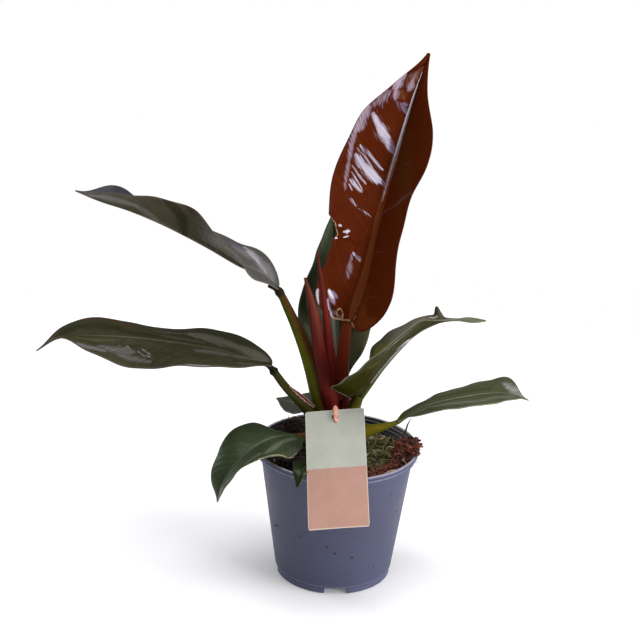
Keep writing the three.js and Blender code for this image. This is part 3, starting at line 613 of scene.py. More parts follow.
# A round section carried along a course. The section's radius is a share of the stalk's at each
# angle, and turns by a twist along the way; the ends close on one vertex each. A swelling at a share
# of the way makes a knuckle there.
def carried(course, radius, sides=40, steps=120, shape=None, twist=0.0, reference=(0, 1, 0.2), swell=(0, 0)):
    spine = smoothCourse(course, steps)
    t = np.linspace(0, 1, steps)
    tangent = unit(np.gradient(spine, axis=0))
    across = unit(np.cross(np.broadcast_to(np.array(reference, float), tangent.shape), tangent))
    other = np.cross(tangent, across)
    turn = np.linspace(0, 2 * np.pi, sides, endpoint=False)
    local = (turn[None] + twist * t[:, None]) % (2 * np.pi)
    share = np.ones_like(local) if shape is None else shape(turn[None] + 0 * local, t[:, None])
    share = share + swell[1] * np.exp(-(((t[:, None] - swell[0]) / 0.022) ** 2))
    reach = readAlong(radius, t)[:, None] * share
    points = spine[:, None] + (reach * np.cos(local))[..., None] * across[:, None]
    points = points + (reach * np.sin(local))[..., None] * other[:, None]
    count = steps * sides
    all_ = np.vstack([points.reshape(-1, 3), spine[:1], spine[-1:]])
    faces = [gridQuads(steps, sides, closed=True), fan(np.arange(sides), count, True),
             fan(np.arange(sides) + count - sides, count + 1)]
    uv = np.stack([np.broadcast_to(part, local.shape) for part in (t[:, None], turn / (2 * np.pi))], -1)
    uv = np.vstack([uv.reshape(-1, 2), [[0, 0], [1, 0]]])
    return all_, faces, uv


# Strands: moss, coir and other threads are thin tubes that many curves carry at once.

# Each strand is a curve start + run t + bend t(1 - t) + fall t^2, with a round section that thins.
def strands(starts, runs, bends, falls, radius, stations=7, sides=3):
    t = np.linspace(0, 1, stations)[None, :, None]
    spine = starts[:, None] + runs[:, None] * t + bends[:, None] * t * (1 - t) * 4 + falls[:, None] * t**2
    tangent = unit(np.gradient(spine, axis=1))
    across = unit(np.cross(tangent, unit(bends + 0.01)[:, None] + np.array([0.03, 0.02, 0.01])))
    other = np.cross(tangent, across)
    turn = np.linspace(0, 2 * np.pi, sides, endpoint=False)
    section = across[:, :, None] * np.cos(turn)[:, None] + other[:, :, None] * np.sin(turn)[:, None]
    taper = (1 - 0.75 * t[..., 0])[..., None, None]
    points = spine[:, :, None] + section * radius[:, None, None, None] * taper
    count = len(starts)
    first = (np.arange(count) * stations * sides)[:, None, None]
    quads = (gridQuads(stations, sides, closed=True)[None] + first).reshape(-1, 4)
    ends = np.arange(sides)[None, ::-1] + first[:, 0]
    tips = np.arange(sides)[None] + (stations - 1) * sides + first[:, 0]
    along = np.broadcast_to(t[..., 0][..., None], (count, stations, sides)).ravel()
    return points.reshape(-1, 3), [quads, ends, tips], along


# A pad that follows a ring of the pot: u is the way out from its middle, a the angle round it.
def ringPad(pad, height, rings=26, columns=90, base=0.3):
    u = np.linspace(0.03, 1, rings)[:, None]
    a = np.linspace(0, 2 * np.pi, columns, endpoint=False)
    radius = pad["radius"] + pad["radiusHalf"] * u * np.cos(a)
    turn = np.radians(pad["angle"] + pad["angleHalf"] * u * np.sin(a))
    x, y = radius * np.cos(turn), radius * np.sin(turn)
    upper = np.stack([x, y, soilHeight(x, y) + base + 0.8 + height(x, y, np.degrees(turn)) * (1 - u * u)], -1)
    lower = np.stack([x, y, soilHeight(x, y) + base - 0.6], -1)
    count = rings * columns
    middles = [upper[0].mean(0), lower[0].mean(0)]
    points = np.vstack([upper.reshape(-1, 3), lower.reshape(-1, 3), middles])
    rim = np.stack([np.arange(columns), np.roll(np.arange(columns), -1)], -1) + count - columns
    side = np.concatenate([rim[:, ::-1], rim + count], 1)
    faces = [gridQuads(rings, columns, closed=True), gridQuads(rings, columns, count, True, True), side,
             fan(np.arange(columns), 2 * count, True), fan(np.arange(columns) + count, 2 * count + 1)]
    return points, [part[:, ::-1] for part in faces]


# Soil and old roots heaped against the back wall.
rootHeap = {"angle": 130, "angleHalf": 38, "radius": 47.5, "radiusHalf": 7, "lift": 9.6, "crumbs": 520,
            "fibres": 230}


def rootHeight(x, y, turn):
    return (rootHeap["lift"] + 0.6 * roughness(x, y, 0.7)) * (1 + 0.35 * (np.hypot(x, y) > 50))


def makeRootHeap(matter, fibre):
    points, faces = ringPad(rootHeap, rootHeight)
    addPiece("rootBed", points, faces, matter, marks={"tint": np.full(len(points), 0.3)})
    random = np.random.default_rng(41)
    count = rootHeap["crumbs"]
    places = padPlaces(rootHeap, random, count, rootHeight) - [0, 0, 0.4]
    size = random.uniform(0.5, 1.5, count)[:, None] * random.uniform(0.6, 1.4, (count, 3))
    points, faces, tint = scattered(random, lumpPoints, lumpFaces, places, size, randomTurns(random, count))
    addPiece("rootCrumbs", points, [faces], matter, marks={"tint": tint})
    count = rootHeap["fibres"]
    starts = padPlaces(rootHeap, random, count, rootHeight) - [0, 0, 0.6]
    length = random.uniform(3, 9, count)[:, None]
    runs = unit(random.normal(size=(count, 3)) * [1, 1, 0.3] + [0, 0, 0.12]) * length
    bends = random.normal(size=(count, 3)) * 0.18 * length
    falls, radius = -0.15 * length * [0, 0, 1], random.uniform(0.2, 0.5, count)
    points, faces, along = strands(starts, runs, bends, falls, radius)
    tint = np.repeat(random.uniform(0, 1, count), 21)
    addPiece("rootFibres", points, faces, fibre, marks={"tint": tint, "along": along})


moss = {"angle": -14, "angleHalf": 40, "radius": 31, "radiusHalf": 11.5, "lift": 2.6, "strands": 1300,
        "pale": 190}
mossField = {"angle": 0, "angleHalf": 56, "radius": 33, "radiusHalf": 15.5}  # where its strands reach
bark = {"angle": -26, "angleHalf": 43, "radius": 48, "radiusHalf": 5.4, "lift": 3.2, "heapAngle": -3,
        "heapSpread": 13, "heap": 10, "chips": 520, "fibres": 700}


def mossHeight(x, y, turn):
    return moss["lift"] * (1 + 0.45 * np.sin(x * 0.9) * np.sin(y * 0.8 + 0.7)) + 0.5 * roughness(x, y, 0.8)


def barkHeight(x, y, turn):
    fall = np.exp(-(((turn - bark["heapAngle"]) / bark["heapSpread"]) ** 2))
    return bark["lift"] + bark["heap"] * fall + 0.5 * roughness(x, y, 0.7)


def padPlaces(pad, random, count, height, reach=0.95):  # random places on a pad's upper face
    u, a = reach * np.sqrt(random.uniform(0, 1, count)), random.uniform(0, 2 * np.pi, count)
    radius = pad["radius"] + pad["radiusHalf"] * u * np.cos(a)
    turn = np.radians(pad["angle"] + pad["angleHalf"] * u * np.sin(a))
    x, y = radius * np.cos(turn), radius * np.sin(turn)
    return np.stack([x, y, soilHeight(x, y) + 1.1 + height(x, y, np.degrees(turn)) * (1 - u * u)], -1)


def makeMoss(bed, strand, pale):
    points, faces = ringPad(moss, mossHeight)
    addPiece("mossBed", points, faces, bed, ["moss"], marks={"tint": np.full(len(points), 0.35)})
    random = np.random.default_rng(17)
    kinds = (("mossStrands", moss["strands"], strand, (2.5, 7.0), (0.16, 0.38)),
             ("mossPaleStrands", moss["pale"], pale, (5.0, 11.0), (0.28, 0.46)))
    for name, count, material, long, thick in kinds:
        starts = padPlaces(mossField, random, count, mossHeight) + [0, 0, 0.2]
        length = random.uniform(*long, count)[:, None]
        lean = unit(random.normal(size=(count, 3)) * [1, 1, 0.4] + [0, 0, 0.45])
        bends = random.normal(size=(count, 3)) * 0.3 * length
        falls = np.array([[0, 0, -0.35]]) * length
        radius = random.uniform(*thick, count)
        points, faces, along = strands(starts, lean * length, bends, falls, radius, 7, 3)
        tint = np.repeat(random.uniform(0, 1, count) ** 2.2, 21)
        addPiece(name, points, faces, material, marks={"tint": tint, "along": along})


def mossMaterial(name, dark, light, tip):
    material, tree, shader = startMaterial(name)
    tint = attribute(tree, "tint")
    along = attribute(tree, "along")
    base = mixColours(tree, tint, dark, light)
    base = mixColours(tree, maths(tree, "MULTIPLY", maths(tree, "MULTIPLY", along, tint), 0.9), base, tip)
    height = noise(tree, objectPlace(tree), 1300.0, 3.0, 0.6)
    setSurface(tree, shader, base, 0.8, height, 0.0004, 0.8)
    return material


makeMoss(mossMaterial("mossBed", colour(14, 13, 4), colour(26, 24, 8), colour(30, 30, 8)),
         mossMaterial("mossGreen", colour(18, 18, 2), colour(124, 120, 34), colour(184, 174, 100)),
         mossMaterial("mossPale", colour(150, 142, 96), colour(206, 198, 152), colour(226, 220, 184)))


def makeBark(bed, chip, fibre):
    points, faces = ringPad(bark, barkHeight)
    addPiece("barkBed", points, faces, bed, ["bark"], marks={"tint": np.full(len(points), 0.3)})
    random = np.random.default_rng(23)
    count = bark["chips"]
    inHeap = random.uniform(0, 1, count) < 0.62
    turn = np.where(inHeap, bark["heapAngle"] + random.normal(0, 9, count),
                    random.uniform(bark["angle"] - 38, bark["heapAngle"], count))
    turn = np.minimum(turn, bark["heapAngle"] + 14 - random.uniform(0, 6, count))
    radius = np.where(inHeap, random.uniform(44, 60, count), random.uniform(47, 52.4, count))
    fall = np.exp(-(((turn - bark["heapAngle"]) / 15) ** 2))
    bow = 1 - ((radius - 52) / 14) ** 2
    z = np.where(inHeap, 94.5 + (9.5 * fall + 1) * bow * random.uniform(0.45, 1.0, count), 94.6)
    z = np.where(radius > 54, np.maximum(z, 101.5), z) + random.uniform(-0.6, 1.6, count)
    a = np.radians(turn)
    places = polar(radius, a, z)
    sizes = np.stack([random.uniform(0.9, 3.6, count), random.uniform(0.4, 1.2, count),
                      random.uniform(0.25, 0.7, count)], -1)
    turns = randomTurns(random, count)
    points, faces, tint = scattered(random, slabPoints, slabFaces, places, sizes, turns, 0.4)
    addPiece("barkChips", points, [faces], chip, marks={"tint": tint}, sharp=30)

    count = bark["fibres"]
    inHeap = random.uniform(0, 1, count) < 0.6
    turn = np.radians(np.where(inHeap, bark["heapAngle"] + random.normal(0, 9, count),
                               random.uniform(bark["angle"] - 36, bark["heapAngle"], count)))
    radius = np.where(inHeap, random.uniform(46, 57, count), random.uniform(42, 51, count))
    fall = np.exp(-(((np.degrees(turn) - bark["heapAngle"]) / 15) ** 2))
    starts = np.stack([radius * np.cos(turn), radius * np.sin(turn),
                       95.5 + 8.5 * fall * random.uniform(0.2, 1, count)], -1)
    length = random.uniform(2.5, 7.5, count)[:, None]
    runs = unit(random.normal(size=(count, 3)) * [1, 1, 0.55] + [0, 0, 0.15]) * length
    bends = random.normal(size=(count, 3)) * 0.16 * length
    falls, radius = np.zeros((count, 3)), random.uniform(0.2, 0.55, count)
    points, faces, along = strands(starts, runs, bends, falls, radius)
    tint = np.repeat(random.uniform(0, 1, count), 21)
    addPiece("barkFibres", points, faces, fibre, marks={"tint": tint, "along": along})


coirFibre = mossMaterial("coirFibre", colour(62, 23, 14), colour(162, 88, 58), colour(196, 134, 112))
makeBark(crumbMaterial("barkBed", colour(26, 11, 9), colour(48, 20, 16), colour(36, 16, 12)),
         crumbMaterial("barkChip", colour(42, 16, 8), colour(130, 60, 36), colour(72, 27, 14)), coirFibre)
rootFibre = mossMaterial("rootFibre", colour(36, 18, 12), colour(104, 52, 38), colour(84, 44, 32))
makeRootHeap(soilMatter, rootFibre)

# Two things that lie on the heap: a dark twig that stands over the rim and a pale straw along it.
twigs = {"darkTwig": ([[48.5, 16, 99], [50.5, 17.5, 104], [52, 18.5, 109.5], [54.5, 19, 114]],
                      [1, 0.8, 0.6, 0.25]),
         "paleStraw": ([[33.5, -42, 97.5], [37, -41, 98.8], [41.5, -38.6, 99]], [0.3, 0.6, 0.3])}
for twigName, (course, radius) in twigs.items():
    points, faces, _ = carried(course, radius, 10, 24)
    tone = colour(58, 34, 32) if twigName == "darkTwig" else colour(206, 168, 140)
    addPiece(twigName, points, faces, crumbMaterial(twigName, tone, tone, colour(96, 60, 46)),
             marks={"tint": np.full(len(points), 0.5)})
print("moss and bark made")


# Stalks, rolled leaves and stem.

def stalkShape(turn, t):  # faint ribs, and a shallow groove along the upper side that fades out below
    groove = 0.1 * np.exp(-(((turn - np.pi * 1.5) / 0.5) ** 2)) * np.minimum(1, t * 2)
    return 1 + 0.012 * np.sin(turn * 7) - groove


def rolledShape(turn, t):  # a rolled blade: the radius winds outwards once round and steps back at the seam
    return 0.88 + 0.17 * turn / (2 * np.pi) + 0.01 * np.sin(turn * 9 + t * 4)


# Each stalk: its course from the stem and its radius along it, as in the solids, and its colours
# from foot to blade, with the colour of the line along its upper side, and a side colour for the
# side that faces right: painted light on the tall stalk and painted shade on most others.
plainStalk = {  # what a stalk has unless its own lines say otherwise
    "rolled": False, "slot": "stalk", "joint": 0, "knuckle": 0, "lineAt": 0.6,
    "sideReach": (0.25, 0.9, 0.4, 0.65), "footReach": (0.05, 0.45),
}
stalks = {
    "spikeOuter": {
        "course": [[0, -1, 104], [-4.7, -2, 129], [-9.6, -4, 153], [-15.2, -5, 176.5], [-19.3, -6, 198],
            [-23, -6, 214], [-26.9, -6, 228.7]],
        "radius": [5.2, 5.8, 6.2, 5.7, 4.6, 3.5, 1], "foot": colour(104, 22, 16),
        "middle": colour(90, 20, 14), "end": colour(104, 50, 36), "line": colour(120, 48, 36),
        "side": colour(74, 16, 10), "lineAt": 0.02, "rolled": True, "slot": "redStalk",
    },
    "spikeInner": {
        "course": [[-0.5, -1, 136], [-4.9, -3, 155.4], [-8.5, -5, 180.5], [-12.2, -5.5, 205.4],
            [-15.7, -6, 227.6], [-19.1, -6, 249.4]],
        "radius": [3.4, 3.8, 3.2, 2.4, 1.7, 0.4], "foot": colour(90, 18, 14), "middle": colour(104, 24, 18),
        "end": colour(92, 34, 24), "line": colour(124, 50, 40), "side": colour(78, 16, 12), "lineAt": 0.02,
        "rolled": True, "slot": "redStalk",
    },
    "tallStalk": {
        "course": [[5.5, 4, 104], [3.2, 4, 130], [1.6, 6.5, 152], [2.2, 9.4, 168], [3.6, 13, 186],
            [6.6, 17.4, 198]],
        # The dark foot colour reaches far up this stalk: painted shade where the folded leaf shades it.
        "radius": [7.4, 7.2, 5.4, 4.8, 4.3, 2.8], "footReach": (0.3, 0.46), "foot": colour(66, 15, 8),
        "middle": colour(122, 36, 16), "end": colour(120, 54, 24), "line": colour(140, 62, 36),
        "side": colour(140, 66, 40), "slot": "redStalk",
    },
    "upperLeftStalk": {
        "course": [[-5.6, 1, 106], [-11.1, 1.5, 125.7], [-17.2, 2, 149], [-22.6, 2, 165.8],
            [-30.2, 2, 184.7], [-37.6, 1, 201.4], [-45.3, 0, 216.4], [-52.5, 0, 220.6]],
        "radius": [6.4, 7, 6.8, 6, 4.8, 3.8, 3, 1.6], "foot": colour(60, 40, 10),
        "middle": colour(84, 90, 2), "end": colour(74, 68, 16), "line": colour(96, 88, 20),
        "side": colour(84, 44, 22), "sideReach": (-0.2, 0.6, -0.1, 0), "joint": 0.93, "knuckle": 0.45,
    },
    "foldedRightStalk": {
        "course": [[2.4, -5, 107], [8.6, -8, 123], [11.1, -9.6, 134], [14.5, -10.6, 143]],
        "radius": [5, 4.8, 5.2, 3.4], "foot": colour(76, 58, 20), "middle": colour(86, 80, 24),
        "end": colour(70, 69, 14), "line": colour(92, 84, 34), "side": colour(84, 78, 30),
    },
    "middleLeftStalk": {
        "course": [[-8.6, -3, 108], [-16, -3.4, 118.8], [-24.2, -4, 130.3], [-31.6, -4, 137.8],
            [-39.8, -3, 146.4], [-49.6, -2, 159], [-55.5, -2.4, 162.6]],
        "radius": [4.4, 4.4, 4, 3.4, 3, 2.6, 1.5], "foot": colour(46, 38, 12), "middle": colour(52, 56, 10),
        "end": colour(48, 52, 16), "line": colour(122, 108, 66), "side": colour(56, 50, 16), "lineAt": 0.06,
        "joint": 0.86, "knuckle": 0.4,
    },
    "lowRightStalk": {
        "course": [[5, 1, 104], [20.8, 4, 109.4], [31.8, 7, 111.3], [43, 10, 114.4], [48, 12, 118]],
        "radius": [4.8, 5, 3.8, 2.3, 1.4], "foot": colour(88, 80, 2), "middle": colour(102, 100, 4),
        "end": colour(88, 88, 14), "line": colour(124, 80, 14), "side": colour(88, 82, 6),
    },
    "uprightStalk": {
        "course": [[0, 6, 106], [-0.7, 9.5, 119], [-1.2, 12, 134], [-1.9, 14, 148], [-2.6, 19, 158]],
        "radius": [3.6, 3.4, 3, 2.6, 1.5], "foot": colour(66, 48, 32), "middle": colour(64, 74, 40),
        "end": colour(72, 86, 52), "line": colour(104, 112, 84), "side": colour(70, 72, 50),
    },
    "lowerLeftStalk": {
        "course": [[-5, -3, 106], [-14, -5.4, 108.4], [-25.2, -7.6, 109], [-31, -11.4, 111]],
        "radius": [3.4, 3.2, 2.7, 1.5], "foot": colour(96, 54, 34), "middle": colour(100, 66, 38),
        "end": colour(70, 74, 36), "line": colour(130, 78, 52), "side": colour(90, 50, 34),
    },
    "backLeftStalk": {
        "course": [[-5, 4, 106], [-12, 8, 118], [-18.6, 11.6, 125.4], [-22.5, 15.6, 124.6]],
        "radius": [2.6, 2.2, 1.8, 1.1], "foot": colour(74, 56, 40), "middle": colour(78, 84, 56),
        "end": colour(80, 88, 60), "line": colour(108, 108, 78), "side": colour(80, 72, 52),
    },
    "tinyStalk": {
        "course": [[-4, -5, 98], [-11, -12, 99], [-15.5, -19.2, 99.3], [-18.2, -25.4, 99.4]],
        "radius": [2.2, 2, 1.5, 0.9], "foot": colour(66, 52, 34), "middle": colour(54, 66, 32),
        "end": colour(50, 66, 34), "line": colour(84, 96, 56), "side": colour(60, 54, 32),
    },
}


# Stalk skin: foot to end colours, a paler line on the upper side, long fibres and small blotches,
# and painted light and shade on the side that faces right.
def stalkMaterial(name, stalk):
    material, tree, shader = startMaterial(name + "Skin")
    place = objectPlace(tree)
    parts = addNode(tree, "ShaderNodeSeparateXYZ",
                    {0: addNode(tree, "ShaderNodeUVMap", uv_map="UVMap").outputs[0]}).outputs
    along, around = parts[0], parts[1]
    footEnd, middleStart = stalk["footReach"]
    base = mixColours(tree, rescale(tree, along, footEnd, middleStart), stalk["foot"], stalk["middle"])
    base = mixColours(tree, rescale(tree, along, 0.5, 0.95), base, stalk["end"])
    fibreAt = addNode(tree, "ShaderNodeCombineXYZ", {0: maths(tree, "MULTIPLY", along, 3.0),
                                                     1: maths(tree, "MULTIPLY", around, 34.0)}).outputs[0]
    fibres = noise(tree, fibreAt, 1.0, 3.0, 0.6)
    base = mixColours(tree, rescale(tree, fibres, 0.45, 0.75, 0.0, 0.35), base, stalk["line"])
    lineAway = maths(tree, "ABSOLUTE", maths(tree, "SUBTRACT", around, stalk["lineAt"]))
    base = mixColours(tree, rescale(tree, lineAway, 0.0, 0.05, 0.5, 0.0), base, stalk["line"])
    # Painted light and shade: the side facing right takes the side colour, lighter as a painted highlight on
    # the tall stalk and darker as painted shade on most others.
    toRight = maths(tree, "COSINE", maths(tree, "MULTIPLY", around, 2 * math.pi))
    from_, upTo, low, high = stalk["sideReach"]
    facing = rescale(tree, toRight, from_, upTo, 0.0, 0.85)
    turned = maths(tree, "MULTIPLY", facing, rescale(tree, along, low, high))
    base = mixColours(tree, turned, base, stalk["side"])
    mottled = useGroup(tree, mottleGroup, {"Place": place, "Scale": 95.0})["Mask"]
    base = mixColours(tree, maths(tree, "MULTIPLY", mottled, 0.3), base, colour(40, 24, 16))
    if stalk["joint"]:
        joint = rescale(tree, along, stalk["joint"] - 0.035, stalk["joint"] - 0.015)
        base = mixColours(tree, maths(tree, "MULTIPLY", joint, 0.85), base, colour(26, 26, 18))
    height = maths(tree, "MULTIPLY_ADD", fibres, 0.7, noise(tree, place, 900.0, 2.0))
    setSurface(tree, shader, base, rescale(tree, mottled, 0, 1, 0.42, 0.55), height, 0.0003, 0.6,
               Specular_IOR_Level=0.06)
    return material


def makeStalks():
    for name, ownLook in stalks.items():
        stalk = plainStalk | ownLook
        radius = np.array(stalk["radius"], float)
        rolled = stalk["rolled"]
        points, faces, uv = carried(stalk["course"], radius, 48 if rolled else 32, 180,
                                    rolledShape if rolled else stalkShape, 2.2 if rolled else 0.0,
                                    swell=(stalk["joint"], stalk["knuckle"]))
        addPiece(name + "Skin", points, faces, stalkMaterial(name, stalk), [name], uv=uv,
                 sharp=50 if rolled else None)


makeStalks()

crown = {"foot": 70, "radius": 12.5, "shoulder": 106, "top": 121, "topRadius": 7, "rings": 90, "columns": 72}


# The stem base: a stub with ring scars, ribs that wander round it, and a closed top.
def makeCrown(material):
    heights = [crown["foot"], crown["foot"] + 18, crown["shoulder"] - 6, crown["shoulder"] + 4,
               crown["top"] - 3, crown["top"]]
    radii = [crown["radius"] - 2, crown["radius"], crown["radius"] + 0.6, crown["radius"] - 0.6,
             crown["topRadius"] + 2, crown["topRadius"] - 2]
    z = np.linspace(crown["foot"], crown["top"], crown["rings"])[:, None]
    turn = np.linspace(0, 2 * np.pi, crown["columns"], endpoint=False)[None]
    radius = np.interp(z, heights, radii)
    scars = 0.45 * np.exp(-((((z + 1.6 * np.sin(turn + z * 0.05)) % 6.5) - 3.2) / 0.7) ** 2)
    radius = radius - scars + 0.3 * np.sin(turn * 5 + z * 0.3) + 0.15 * np.sin(turn * 13 - z * 0.7)
    points = np.stack([radius * np.cos(turn), radius * np.sin(turn), np.broadcast_to(z, radius.shape)], -1)
    rings, columns = crown["rings"], crown["columns"]
    count = rings * columns
    middles = [[0, 0, crown["foot"]], [0, 0, crown["top"] + 1]]
    faces = [gridQuads(rings, columns, closed=True), fan(np.arange(columns), count, True),
             fan(np.arange(columns) + count - columns, count + 1)]
    addPiece("crownSkin", np.vstack([points.reshape(-1, 3), middles]), faces, material, ["crown"])


def crownMaterial():
    material, tree, shader = startMaterial("crownSkin")
    place = objectPlace(tree)
    mottled = useGroup(tree, mottleGroup, {"Place": place, "Scale": 110.0})["Mask"]
    fibres = noise(tree, stretched(tree, place, (600.0, 600.0, 60.0)), 1.0, 4.0, 0.6)
    base = mixColours(tree, mottled, colour(74, 24, 20), colour(104, 40, 28))
    base = mixColours(tree, rescale(tree, fibres, 0.5, 0.75, 0.0, 0.5), base, colour(128, 78, 50))
    setSurface(tree, shader, base, 0.55, fibres, 0.0008, 0.8)
    return material


makeCrown(crownMaterial())
print("stalks and stem made")


# Leaves.

